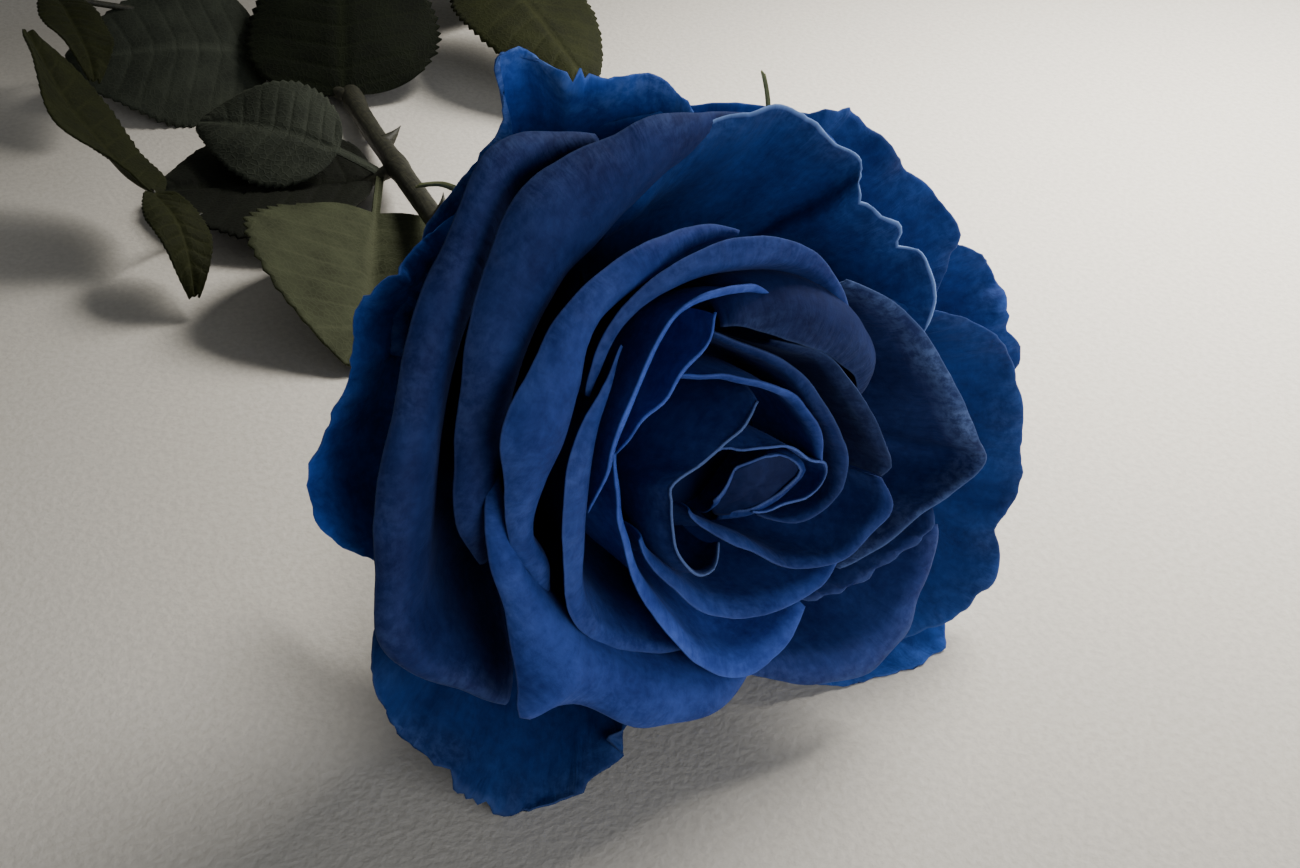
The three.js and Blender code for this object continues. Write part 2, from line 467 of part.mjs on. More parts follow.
// ---- Leaves ---------------------------------------------------------------------------------------
// A compound leaf: a stalk through its points, and leaflets from a share of the stalk's length to a tip.
// cup: how far the blade's margins stand up (+) or hang (-), to its half width (leftCup: the left one);
// arch: its rise in mm; neck: the bare share of its length; turn: degrees it rolls to its right.
const LEAVES = {
  leaf_left: {
    node: LEAF_NODES[0],
    stalk: [[16, 116, 3.5], [5, 118, 2.2], [-8, 119, 2.2], [-18, 118, 6], [-25, 114.5, 14.5]],
    leaflets: [
      { at: 0.07, tip: [-8, 61, 3], width: 49, cup: 0.6, leftCup: 0.1, arch: 2, neck: 0.27 },
      { at: 0.06, tip: [-7, 140, 16], width: 25, cup: -0.1, turn: 30, arch: 6, neck: 0.24, broad: 0.75 },
      { at: 0.1, tip: [-20, 133, 5], width: 46, cup: 0, arch: 1, broad: 0.8 },
      { at: 0.97, tip: [-35, 154, 30], width: 22, cup: 0.2, turn: -40, arch: -3 },
      { at: 0.99, tip: [-25, 92, 7], width: 12, cup: 0.2, turn: 20, arch: 3 },
    ],
  },
  leaf_back: {
    node: LEAF_NODES[2],
    stalk: [[26, 163, 4], [19, 177, 6], [3, 191, 13], [-19, 198, 20]],
    leaflets: [
      { at: 0.05, tip: [46, 190, 27], width: 43, cup: -0.1, arch: 4, neck: 0.08, broad: 0.6 },
      { at: 0.36, tip: [-20, 186, 12], width: 42, cup: -0.1, turn: 25, arch: 4, broad: 0.7 },
      { at: 0.98, tip: [-19, 165, 16], width: 15, cup: 0.2, turn: 24, arch: 2 },
    ],
  },
  leaf_right: {
    node: LEAF_NODES[1],
    stalk: [[46, 184, 9], [60, 184, 16], [71, 173, 18]],
    leaflets: [
      { at: 0.98, tip: [70, 121, 12], width: 30, cup: -0.2, arch: 3 },
      { at: 0.6, tip: [91, 192, 6], width: 26, cup: -0.2, arch: 4 },
    ],
  },
};
const TEETH = 8; // on each margin of a leaflet
const TOOTH_DEPTH = 0.1; // to the half width
const NECK_HALF_WIDTH = 0.8;
const BROAD = 0.85; // how far from its base a leaflet is widest; less is nearer
const STALK_RADIUS = 1.1;
const STALK_TAPER = 0.45; // share of its radius that a stalk loses towards its end
const STALK_FOOT = 0.8; // how much thicker it is where it clasps the stem
const FOOT_REACH = 0.06; // share of its length over which that fades
const STALK_STEPS = 12;
const STALK_SIDES = 6;

// A leaflet's half width along its length, to its widest: an oval, broadest below its middle, that
// starts on a narrow foot, or on a bare neck, and ends in a point.
function leafletHalfWidth(share, { width, neck = 0, broad = BROAD }) {
  if (share < neck) return NECK_HALF_WIDTH;
  const blade = (share - neck) / (1 - neck);
  return Math.max((width / 2) * Math.sin(Math.PI * (0.025 + 0.945 * blade ** broad)) ** 0.8,
    NECK_HALF_WIDTH);
}

function leafletPoints(from, leaflet) {
  const { tip, cup, leftCup = cup, turn = 0, arch } = leaflet;
  const length = new THREE.Vector3(...tip).sub(from);
  const along = length.clone().normalize();
  const right = new THREE.Vector3(length.y, -length.x, 0).normalize().applyAxisAngle(along, deg(-turn));
  const up = new THREE.Vector3().crossVectors(right, along);
  const steps = 2 * TEETH;
  const rows = [];
  for (let i = 0; i <= steps; i += 1) {
    const s = i / steps;
    const notch = i % 2 === 1 ? 1 : 1 - TOOTH_DEPTH;
    const half = leafletHalfWidth(s, leaflet) * notch;
    const bow = arch * (4 * s * (1 - s) - s);
    rows.push([-1, 0, 1].map((side) => {
      const lift = Math.atan(side < 0 ? leftCup : cup);
      return from.clone()
        .addScaledVector(length, s)
        .addScaledVector(right, side * half * Math.cos(lift))
        .addScaledVector(up, Math.abs(side) * half * Math.sin(lift) + bow);
    }));
  }
  return rows;
}

function leaf({ node, stalk, leaflets }) {
  const path = new THREE.CatmullRomCurve3(
    [STEM_PATH.getPointAt(node), ...stalk.map((point) => new THREE.Vector3(...point))]);
  const stalkRadius = (share) => STALK_RADIUS * (1 - STALK_TAPER * share)
    + STALK_FOOT * Math.exp(-share / FOOT_REACH);
  const blades = leaflets.map((leaflet) => sheetSolid(
    leafletPoints(path.getPointAt(leaflet.at), leaflet), LEAF_THICKNESS));
  const whole = joined([rodSolid(path, STALK_STEPS, STALK_SIDES, stalkRadius), ...blades]);
  const room = (share) => stemRadius(share) + SEAT_GAP;
  const seat = toSolid(rodSolid(STEM_PATH, STEM_STEPS, STEM_SIDES, room));
  return laidDown(whole.subtract(seat));
}

// ---- The flower -----------------------------------------------------------------------------------
const petalBlue = new THREE.MeshStandardMaterial({ color: 0x1d4690, roughness: 0.8, metalness: 0 });
const sepalGreen = new THREE.MeshStandardMaterial({ color: 0x4a5334, roughness: 0.75, metalness: 0 });
const stemGreen = new THREE.MeshStandardMaterial({ color: 0x34352a, roughness: 0.7, metalness: 0 });
const leafGreen = new THREE.MeshStandardMaterial({ color: 0x5c6248, roughness: 0.8, metalness: 0 });

const rose = new THREE.Group();
function add(name, solid, material) {
  const mesh = new THREE.Mesh(toGeometry(solid), material);
  mesh.name = name;
  rose.add(mesh);
}

add('bloom', bloom(), petalBlue);
add('calyx', calyx(), sepalGreen);
add('stem', stem(), stemGreen);
for (const [name, plan] of Object.entries(LEAVES)) add(name, leaf(plan), leafGreen);
rose.position.set(-FOOTPRINT_CENTRE[0], -FOOTPRINT_CENTRE[1], 0);

export default rose;
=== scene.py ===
# %% [markdown]
# # Dressing a cut rose
# The frame is a full-blown rose lying on its side: a bloom, its calyx, a thorny stem and three compound
# leaves, each one plain faceted solid. This script puts the real surfaces over them: thirty-one thin
# petals, sepals, bark, and leaflets with their teeth and veins. Lengths are millimetres until a point
# becomes a mesh vertex, because a florist's rule is easier to think in than fractions of a metre.

# %% Load the frame
import bpy
import bmesh
import math
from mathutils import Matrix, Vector, noise


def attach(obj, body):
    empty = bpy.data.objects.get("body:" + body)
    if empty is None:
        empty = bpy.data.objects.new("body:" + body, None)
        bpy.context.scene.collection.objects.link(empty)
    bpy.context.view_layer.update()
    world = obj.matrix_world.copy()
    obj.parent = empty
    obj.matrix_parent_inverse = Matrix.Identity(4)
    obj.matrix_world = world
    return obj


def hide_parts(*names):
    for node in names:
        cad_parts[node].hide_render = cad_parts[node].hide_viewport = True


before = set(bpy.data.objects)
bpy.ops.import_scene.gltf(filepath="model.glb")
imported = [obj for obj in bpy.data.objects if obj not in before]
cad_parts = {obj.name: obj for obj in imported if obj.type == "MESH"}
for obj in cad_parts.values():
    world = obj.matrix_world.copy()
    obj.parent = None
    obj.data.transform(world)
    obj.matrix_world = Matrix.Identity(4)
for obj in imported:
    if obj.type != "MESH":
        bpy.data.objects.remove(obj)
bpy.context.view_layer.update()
MM = 0.001
print("CAD nodes:", ", ".join(sorted(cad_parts)))

# %% [markdown]
# The camera looks down on the flower from its left front, as somebody does who has just laid it on the
# table. A lens of about 50 mm on a 36 mm sensor keeps the near petals from looming too much.

# %% Camera
LENS = 49.85
SENSOR_WIDTH = 36
NEAREST = 10 * MM
CAMERA_AZIMUTH = math.radians(-31)
CAMERA_ELEVATION = math.radians(37)
CAMERA_PLACE = Vector((-118.31, -255.33, 176.16)) * MM

camera = bpy.data.objects.new("camera", bpy.data.cameras.new("camera"))
bpy.context.scene.collection.objects.link(camera)
camera.data.lens = LENS
camera.data.sensor_width = SENSOR_WIDTH
camera.data.clip_start = NEAREST
camera.location = CAMERA_PLACE
camera.rotation_euler = (math.pi / 2 - CAMERA_ELEVATION, 0, CAMERA_AZIMUTH)
bpy.context.scene.camera = camera
print("camera", round(CAMERA_PLACE.length / MM), "mm from the middle of the footprint")

# %% [markdown]
# Colours are written as sRGB hex, the way a painter's chart or a web page gives them, and turned into
# the linear light that the shader works in. One small function adds a node with its settings and links,
# so that each material below reads as a recipe: every line names a node and what goes into it.

# %% Colour and node helpers
def linear(hex_colour):
    channels = [int(hex_colour[k:k + 2], 16) / 255 for k in (1, 3, 5)]
    return (*[c / 12.92 if c <= 0.04045 else ((c + 0.055) / 1.055) ** 2.4 for c in channels], 1)


def add_node(tree, kind, output, inputs=(), **settings):
    """Adds a node and gives back one output. Inputs are a dictionary, or a list in the node's order."""
    made = tree.nodes.new("ShaderNode" + kind)
    for setting, value in settings.items():
        setattr(made, setting, value)
    for socket, value in inputs.items() if isinstance(inputs, dict) else enumerate(inputs):
        if isinstance(value, bpy.types.NodeSocket):
            tree.links.new(value, made.inputs[socket])
        else:
            made.inputs[socket].default_value = value
    return made.outputs[output]


def new_finish(name, **constants):
    finish = bpy.data.materials.new(name)
    finish.use_nodes = True
    shader = finish.node_tree.nodes["Principled BSDF"]
    for socket, value in constants.items():
        shader.inputs[socket.replace("_", " ")].default_value = value
    return finish, finish.node_tree, shader


# of a colour Mix's many sockets: the share of the second colour, the two colours, and the result
SHARE, FIRST, SECOND, MIXED = 0, 6, 7, 2


def streaks(tree, where, across, along, detail=3.0):
    """Noise drawn out along the second coordinate of `where`: cells are 1/across by 1/along wide."""
    drawn = add_node(tree, "Mapping", "Vector", {"Vector": where, "Scale": (across, along, 1.0)})
    return add_node(tree, "TexNoise", "Fac", {
        "Vector": drawn, "Scale": 1.0, "Detail": detail, "Roughness": 0.6})


print("helpers ready; mid grey is", round(linear("#808080")[0], 3), "in linear light")

# %% [markdown]
# ## Petal finish
# Rose petals are matte and velvety: the upper skin is covered with tiny cones that scatter light, so the
# rims look dusty where light grazes them; a pale band painted along the rim stands for that sheen. Fine
# veins fan out from the claw. A dyed, preserved petal is deep blue and a little blotchy, and a thin
# painted
# highlight can pale its very edge. The pattern runs on the petal's own UV map, whose unit is a millimetre:
# U goes round the bloom and V from claw to edge.

# %% Petal finish
# roughness 0.72 and a slight cool sheen: light spreads over the skin's cones instead of glinting
VELVET = dict(Roughness=0.72, IOR=1.42, Sheen_Weight=0.07, Sheen_Roughness=0.45,
              Specular_IOR_Level=0.16, Sheen_Tint=linear("#8fa6e6"))
DRIFT = (2.0, 1.2, 0.0)
# width in mm of the thin painted highlight on a petal's very edge
RIM_HIGHLIGHT_WIDTH = 0.5
PLEATED_RIM = 9.0


def petal_finish(name, deep, body, sheen_colour, sheen_reach):
    finish, tree, shader = new_finish(name, **VELVET)
    place = add_node(tree, "UVMap", "UV", uv_map="skin")
    rim, painted_sheen, painted_light_and_shade, bare = [add_node(tree, "Attribute", "Fac", attribute_name=layer)
                             for layer in ("rim", "painted_sheen", "painted_light_and_shade", "bare")]
    # the veins wander by a millimetre or two, as grown ones do
    wander = add_node(tree, "TexNoise", "Color", {"Vector": place, "Scale": 0.22, "Detail": 2.0})
    bent = add_node(tree, "VectorMath", "Vector", (wander, DRIFT, place), operation="MULTIPLY_ADD")
    veins = streaks(tree, bent, 1.0, 0.2)
    pleats = streaks(tree, bent, 0.75, 0.16, detail=2.0)
    blotches = streaks(tree, place, 0.13, 0.1, detail=2.0)
    mottle = add_node(tree, "TexNoise", "Fac", {
        "Vector": bent, "Scale": 0.75, "Detail": 5.0, "Roughness": 0.65})
    grain = add_node(tree, "TexNoise", "Fac", {"Vector": place, "Scale": 5.0, "Detail": 2.0})
    # colour: deep and body blue in blotches, deeper veins, then each petal's painted light and shade, a
    # scale that lightens or darkens it; a MapRange spreads its value from the first two numbers over the
    # last two, or over 0 to 1
    broad = add_node(tree, "MapRange", "Result", (blotches, 0.3, 0.7, 0.0, 0.6))
    small = add_node(tree, "MapRange", "Result", (mottle, 0.32, 0.68, 0.0, 0.4))
    patchy = add_node(tree, "Math", "Value", (broad, small), operation="ADD")
    blotched = add_node(tree, "Mix", MIXED, {
        SHARE: patchy, FIRST: linear(deep), SECOND: linear(body)}, data_type="RGBA")
    fanned = add_node(tree, "MapRange", "Result", (veins, 0.45, 0.7, 0.0, 0.25))
    veined = add_node(tree, "Mix", MIXED, {
        SHARE: fanned, FIRST: blotched, SECOND: linear(deep)}, data_type="RGBA")
    with_painted_light = add_node(tree, "VectorMath", "Vector", {0: veined, "Scale": painted_light_and_shade}, operation="SCALE")
    # a speckled pale band of painted sheen fades in from the rim, and the very edge can take a painted
    # highlight
    band = add_node(tree, "MapRange", "Result", (rim, 0.0, sheen_reach, 1.0, 0.0))
    band = add_node(tree, "Math", "Value", (painted_sheen, band), operation="MULTIPLY")
    speckle = add_node(tree, "MapRange", "Result", (mottle, 0.42, 0.6, 0.25, 1.0))
    band = add_node(tree, "Math", "Value", (band, speckle), operation="MULTIPLY")
    edge = add_node(tree, "MapRange", "Result", (rim, 0.0, RIM_HIGHLIGHT_WIDTH, 1.0, 0.0))
    edge = add_node(tree, "Math", "Value", (bare, edge), operation="MULTIPLY")
    painted_highlights = add_node(tree, "Math", "Value", (band, edge), operation="MAXIMUM")
    colour = add_node(tree, "Mix", MIXED, {
        SHARE: painted_highlights, FIRST: with_painted_light, SECOND: linear(sheen_colour)}, data_type="RGBA")
    tree.links.new(colour, shader.inputs["Base Color"])
    # relief: pleats near the rim, then veins, mottle and grain pressed on top, each so many mm deep
    near_edge = add_node(tree, "MapRange", "Result", (rim, 0.0, PLEATED_RIM, 0.45, 0.1))
    relief = add_node(tree, "Bump", "Normal", {
        "Height": pleats, "Strength": near_edge, "Distance": 0.6 * MM})
    for height, strength, depth in ((veins, 0.12, 0.25), (mottle, 0.3, 0.25), (grain, 0.3, 0.07)):
        relief = add_node(tree, "Bump", "Normal", {
            "Height": height, "Strength": strength, "Distance": depth * MM, "Normal": relief})
    tree.links.new(relief, shader.inputs["Normal"])
    return finish


# deep and body blue, the pale blue of the painted sheen, and how far in mm the painted sheen reaches from
# the rim
PETAL_FINISHES = {
    "inner": petal_finish("rose_petal_inner", "#14205a", "#33498f", "#7f9cd6", 5.0),
    "outer": petal_finish("rose_petal_outer", "#0d2058", "#1f4590", "#7fa0dc", 6.0),
}
print("petal finishes:", ", ".join(PETAL_FINISHES))

# %% [markdown]
# ## The bloom's own frame
# Each petal grows round the bloom's axis, so it is easiest to draw in cylindrical coordinates: azimuth
# (0 to the right of the mouth, 90 upwards), radius, and height from the base towards the mouth. The
# values follow those of the solid model, so every surface lands on the node it stands for.

# %% The bloom's frame
FOOTPRINT_CENTRE = Vector((22.85, 76.6, 0))
BLOOM_BASE = Vector((0, 0, 31.5)) - FOOTPRINT_CENTRE
BLOOM_TILT = math.radians(19)
AXIS = Vector((0, -math.cos(BLOOM_TILT), math.sin(BLOOM_TILT)))
ACROSS = Vector((1, 0, 0))
UPWARDS = AXIS.cross(ACROSS)


def in_bloom(azimuth, radius, height):
    angle = math.radians(azimuth)
    return (BLOOM_BASE + ACROSS * radius * math.cos(angle)
            + UPWARDS * radius * math.sin(angle) + AXIS * height)


def hermite(start, leaving, end, arriving, t):
    return ((2 * t ** 3 - 3 * t ** 2 + 1) * start + (t ** 3 - 2 * t ** 2 + t) * leaving
            + (3 * t ** 2 - 2 * t ** 3) * end + (t ** 3 - t ** 2) * arriving)


def clamp(value, low=0.0, high=1.0):
    return min(max(value, low), high)


def smoothstep(low, high, value):
    t = clamp((value - low) / (high - low))
    return t * t * (3 - 2 * t)


def through_stations(stations, distance):
    """A smooth curve through lists of numbers, spaced by how far apart they lie."""
    at = [0.0]
    for before, after in zip(stations, stations[1:]):
        at.append(at[-1] + max(distance(before, after), 1e-3))
    last = len(stations) - 1

    def slope(i, k):
        before, after = max(i - 1, 0), min(i + 1, last)
        return (stations[after][k] - stations[before][k]) / (at[after] - at[before])

    def curve(u):
        s = u * at[-1]
        i = 0
        while i < last - 1 and s > at[i + 1]:
            i += 1
        gap = at[i + 1] - at[i]
        return [hermite(stations[i][k], slope(i, k) * gap, stations[i + 1][k],
                        slope(i + 1, k) * gap, (s - at[i]) / gap) for k in range(len(stations[i]))]

    return curve, at[-1]


def crest_distance(one, other):
    return (in_bloom(*one[:3]) - in_bloom(*other[:3])).length


print("bloom base at", [round(c, 1) for c in BLOOM_BASE], "mm, axis", [round(c, 3) for c in AXIS])

# %% [markdown]
# ## Petal shapes
# A petal springs from a narrow claw at azimuth `root`, swells to a cup of radius `belly`, and rises to its
# crest, where a lip may roll over. The stations along that crest give azimuth, radius, height, and the
# lip's length where it has more than a plain edge. `lean` is the slope of the blade at the crest and
# `curl` its slope at the end of the lip; `gather` is how much of the crest's width the claw keeps. The
# petals are listed from the heart outwards.

# %% Petal table
PLAIN_LIP = 0.4
GATHER = 0.5


def petal_plan(root, belly, lean, curl, crest, gather=GATHER):
    stations = [[*station, PLAIN_LIP][:4] for station in crest]
    return dict(root=root, belly=belly, lean=lean, curl=curl, gather=gather, crest=stations)


PETALS = {
    "heart": petal_plan(170, 6.5, 150, 175, [
        (262, 6.5, 36, 0.3), (302, 3, 38.5, 0.3), (345, 5.5, 40, 0.3), (334, 11, 40, 0.3),
        (320, 10, 39.5, 0.3), (304, 10, 38, 0.3), (274, 9.5, 34, 0.3)], gather=0.15),
    "bud_cap": petal_plan(70, 7.5, 105, 60, [
        (145, 2, 40, 0.3), (60, 1.5, 41.5, 0.6), (15, 3.5, 42, 1), (-2, 6.5, 42, 1.4),
        (-15, 10, 41.5, 1.4), (-21, 13, 41, 0.8), (-30, 14.5, 40), (-41, 14, 39, 0.3), (-52, 12, 38, 0.3),
        (-68, 10, 37, 0.3)]),
    "bud_wrap": petal_plan(180, 9, 118, 60, [
        (52, 7.5, 41, 0.3), (71, 6, 42.5, 0.8), (93, 4.5, 43, 0.8), (141, 4, 43), (167, 5.5, 43, 0.3),
        (178, 9.6, 42.6, 0.3), (190, 10, 41.8, 0.8), (206, 11.3, 41, 1.4), (222, 12.9, 40, 1.7),
        (234, 14, 39.5, 1.8), (244, 14.4, 39, 1.7), (252, 13.9, 38.6, 1.4), (257, 12.9, 38.1, 0.9),
        (261, 11.4, 37.5)]),
    "collar_1": petal_plan(60, 10.5, 95, 40, [
        (115, 13.5, 41, 1.2), (104, 12, 42, 1.3), (83, 10, 42.5, 1.3), (59, 9.5, 43, 1.2),
        (34, 9.5, 43, 1.2), (12, 10, 43, 1.1), (-6, 11, 42, 0.9), (-18, 12.5, 41, 0.5)]),
    "collar_2": petal_plan(20, 11.5, 88, 30, [
        (91, 16, 41, 0.8), (80, 14, 42, 1), (64, 12.5, 43, 1.2), (44, 11.5, 43.5, 1.3),
        (20, 11, 43.5, 1.4), (-2, 12.5, 43, 1.3), (-17, 14.5, 42, 1.1), (-34, 16.5, 40, 0.7),
        (-52, 14.5, 38, 1), (-66, 11, 36)]),
    "collar_3": petal_plan(25, 13, 82, 30, [
        (64, 14.5, 42, 0.8), (52, 14.5, 43, 1.2), (37, 15, 43.5, 1.4), (22, 15, 44, 1.5),
        (6, 16, 44, 1.5), (-9, 18, 43.5, 1.4), (-19, 20.5, 43, 1), (-23, 21, 42, 0.5)]),
    "cup_1": petal_plan(300, 13.5, 80, 20, [
        (336, 21, 42, 0.5), (328, 23, 41.5, 1.4), (317, 22.5, 40.5, 1.3), (307, 22, 39.5, 1.2),
        (295, 18, 38, 2), (286, 15, 38, 2), (272, 11, 38, 1.8), (249, 8.5, 38.5, 1.2),
        (219, 7.5, 39, 0.5)]),
    "cup_2": petal_plan(265, 14.5, 76, 20, [
        (204, 14, 39, 0.8), (220, 14.5, 38.5, 1.5), (236, 15.5, 38, 2), (252, 17.5, 37.5, 2.4),
        (275, 20, 37, 2.4), (295, 22.5, 37.5, 1.6), (306, 23.5, 38, 0.6)]),
    "cup_3": petal_plan(235, 15.5, 72, 10, [
        (156, 16, 41, 0.5), (170, 15.5, 41, 0.6), (185, 15.5, 40.5, 0.9), (202, 16, 40, 1.4),
        (223, 18, 39, 2), (239, 20.5, 38, 2.6), (252, 23.5, 37, 3.2), (265, 26, 36, 3.6),
        (278, 26, 36, 2.8), (290, 25, 36.5, 1)]),
    "fold_1": petal_plan(130, 14.5, 92, 40, [
        (94, 19.5, 45, 0.6), (99, 17, 44.5, 1.3), (110, 15.5, 44, 1.6), (124, 14.5, 43.5, 1.8),
        (138, 15, 43, 1.7), (158, 16, 41, 0.6)]),
    "fold_2": petal_plan(125, 15.5, 90, 30, [
        (70, 20, 43.5, 0.6), (81, 21, 44.5, 1.3), (97, 22, 45, 1.5), (106, 21.5, 44.5, 1.1),
        (114, 20, 44, 1.5), (121, 19, 43.5, 1.9), (132, 18, 43, 2), (144, 17, 42.5, 2),
        (157, 17, 41.5, 1.7), (167, 17, 40.5, 1.4), (182, 18.5, 38.5, 0.5)]),
    "hood": petal_plan(45, 16, 150, 215, [
        (89, 18, 43, 1), (84, 19.5, 44.5, 2.5), (74, 20, 45, 4), (62, 20.5, 45.5, 5), (38, 21, 45, 5),
        (26, 21, 44, 4), (17, 21, 43, 2.8), (9, 19.5, 41.8, 1.5), (2, 17.5, 39.5, 0.5)]),
    "fold_3": petal_plan(200, 17, 60, -20, [
        (124, 22.5, 43.5, 0.5), (135, 21, 43, 1), (147, 20, 42.5, 2.8), (160, 19.5, 42, 4.2),
        (175, 19.5, 41, 4.4), (191, 21, 40, 4), (210, 24, 38, 3.2), (233, 24.5, 36, 2),
        (253, 25, 35, 0.6)]),
    "fold_4": petal_plan(110, 18.5, 70, -20, [
        (141, 21.5, 41, 1), (134, 22.5, 42, 2), (120, 24.5, 43.5, 2.4), (104, 24.5, 44.5, 3.6),
        (82, 24, 44.5, 4.4), (60, 24, 44, 2.8), (51, 23.5, 43.5, 2), (35, 22, 41.5, 0.8)]),
    "mid_left": petal_plan(150, 20, 70, -50, [
        (78, 27, 41, 0.6), (87, 27, 42, 2.6), (105, 26.5, 43, 4.8), (122, 27, 43, 5.2), (130, 26, 43, 7),
        (140, 24, 42.5, 9), (154, 23.5, 42, 10.5), (166, 24.5, 41, 7), (182, 26, 39, 4),
        (192, 25, 37.5, 3), (201, 26, 36, 1)]),
    "mid_right": petal_plan(15, 19.5, 62, 10, [
        (40, 25.5, 40, 0.6), (24, 27.5, 41, 1.4), (3, 30.5, 41, 1.8), (-7, 33, 40.5, 2), (-15, 36, 40, 2),
        (-20, 39.5, 39, 1.2), (-27, 35, 39, 1), (-33, 31.5, 38.5, 1), (-41, 29, 38, 1),
        (-55, 25.5, 37, 0.6)]),
    "mid_low": petal_plan(255, 22, 60, -60, [
        (160, 27.5, 34, 0.6), (172, 28.5, 37.5, 2.4), (183, 28.5, 39, 4), (194, 28, 39, 5.4),
        (203, 27.7, 39, 8), (210, 27.5, 39, 10.8), (215, 27.4, 38.9, 14), (219, 27.3, 38.8, 10.5),
        (225, 27, 38.5, 9.2), (242, 27.5, 38, 8.5), (258, 28.5, 37, 7), (269, 30, 36, 1)]),
    "crinkle": petal_plan(320, 21, 58, 0, [
        (329, 34, 38.6, 0.5), (325, 34.8, 38.5, 0.6), (318, 31.6, 38.5, 0.8), (311, 29.5, 38.4, 0.8),
        (303, 27.8, 38, 0.8), (295, 25.5, 37.5, 0.8), (287, 23.5, 36, 0.6)]),
    "mid_low_right": petal_plan(295, 23.5, 50, -40, [
        (262, 27.5, 35, 1), (274, 29, 36.5, 3.4), (283, 32, 37, 4.8), (292, 35, 37, 5),
        (300, 37.2, 36.9, 4.6), (313, 36.6, 37.4, 3.4), (320, 35.6, 37.6, 2.4), (326, 35, 38, 1.2)]),
    "out_left": petal_plan(135, 25, 45, -60, [
        (70, 40, 34, 0.5), (82, 38, 37.5, 3), (90, 36.5, 38.5, 5.6), (99, 34.5, 39, 8),
        (109, 33, 39.5, 10.5), (118, 33, 40, 11), (127, 32, 40, 9.5), (145, 30, 39, 7),
        (165, 29, 37, 5.6), (176, 29.5, 36, 4.6), (188, 30.5, 34, 1.2)]),
    "out_top": petal_plan(60, 23.5, 38, -20, [
        (103, 30, 32, 2), (95, 32, 35, 2), (86, 36, 36.5, 2.5), (73, 40, 38, 1), (67, 41.5, 38, 0.5),
        (55, 39.5, 37), (47, 39.5, 36), (45, 36.5, 36.5), (37, 36, 36), (29, 37, 35.5, 1),
        (14, 36.5, 35.5, 0.5), (-4, 31, 31)]),
    "far_left": petal_plan(160, 27.5, 35, -70, [
        (98, 39, 32, 1.6), (109, 41.5, 34, 4.4), (116, 42.5, 35, 4.6), (124, 40, 35.5, 5),
        (132, 39, 36, 4.8), (152, 37, 36, 5.2), (163, 37, 36, 5.6), (174, 38, 35.5, 5.5),
        (184, 40, 35, 5), (191, 42, 34.5, 4.6), (198, 41.5, 34, 4.2), (207, 39.5, 33, 2.2),
        (217, 38.5, 32, 0.6)]),
    "guard_top": petal_plan(104, 28.5, 25, -20, [
        (150, 33, 13), (128, 38, 17), (108, 42, 20), (104, 46, 21), (103, 50.5, 22), (99, 49, 24),
        (94, 45.5, 25), (88, 44.5, 26), (81, 43.5, 27), (73, 37, 26), (60, 29.5, 15)]),
    "guard_top_right": petal_plan(70, 24.5, 25, -20, [
        (112, 32, 13), (96, 38, 20), (83, 39, 24), (67, 41, 26), (54, 42, 28), (42, 41, 26),
        (26, 34, 16)]),
    "guard_right_high": petal_plan(28, 29, 25, -20, [
        (76, 34, 14), (60, 40, 23), (50, 43.5, 27, 0.8), (45, 45.5, 27, 1.2), (33, 45, 27, 1.5),
        (23, 47.5, 27, 1.2), (14, 48.5, 26, 0.5), (0, 43, 20), (-16, 35, 13)]),
    "guard_right": petal_plan(-4, 31, 20, -20, [
        (32, 36, 14), (20, 44, 21), (13, 49.5, 24), (8, 53.5, 24), (3, 56, 23), (-2, 54.5, 24, 0.6),
        (-8, 58.5, 24, 0.6), (-14, 54, 21), (-26, 44, 17), (-38, 35, 12)]),
    "guard_right_low": petal_plan(-20, 26, 32, -10, [
        (20, 29, 30, 0.6), (11, 35.5, 33.5, 1.4), (2, 43, 34, 2), (-6, 48, 33, 1.6), (-17, 51, 32, 1),
        (-26, 55, 31, 0.5), (-32, 53, 31), (-36, 56, 30), (-43, 55.5, 30), (-54, 49, 29), (-68, 39, 24),
        (-80, 32, 16)]),
    "guard_low_right": petal_plan(300, 28.5, 22, -20, [
        (336, 36, 15), (322, 46, 22), (314, 52.5, 26, 0.6), (309, 54.8, 29.6, 0.8),
        (304, 52.8, 30.5, 0.6), (299, 51.4, 29.2), (293, 46.4, 29), (282, 38, 25), (268, 32, 15)]),
    "guard_under": petal_plan(262, 25.5, 35, 0, [
        (222, 30, 14), (238, 33, 21), (255, 34, 25), (272, 34, 25), (288, 33, 21), (302, 30, 14)]),
    "guard_bottom": petal_plan(226, 29.5, 20, -20, [
        (186, 36, 14), (196, 42, 21), (201, 47, 25), (207, 48.5, 24.5), (218, 50, 24), (226, 51.5, 23.5),
        (233, 52, 24.5), (239, 50.7, 25.6), (243, 46.5, 27), (247, 39, 29), (262, 33, 22)]),
    "guard_left": petal_plan(155, 30.5, 15, -20, [
        (112, 33, 12), (124, 38, 19), (136, 41, 22), (142, 42.5, 20), (150, 40.5, 20), (158, 40.5, 19),
        (166, 44, 19), (173, 44.5, 19), (180, 43.5, 21), (188, 39, 21), (202, 33, 13)]),
}
print(len(PETALS), "petals")

# %% [markdown]
# No living petal is as even as its plan. `CHARACTER` gives each one its own temper. `wave` and `waves`
# ruffle its edge, `rag` frays it, `crease` puckers it and `roll` lengthens its lip. `notches` cut it and
# `pleats` fold it, each at a share of its width. A scale of painted light and shade lightens or darkens
# its blue for the light and shade on that petal; a pale band of painted sheen lies along its rim, and a
# painted highlight can pale its very edge. Anything not listed keeps the plain habit.

# %% Petal character
HABIT = dict(wave=0.35, waves=3.0, rag=0.12, crease=0.0, roll=1.0, painted_light_and_shade=1.0, painted_sheen=0.1, bare=0.12,
             notches=[], pleats=[])
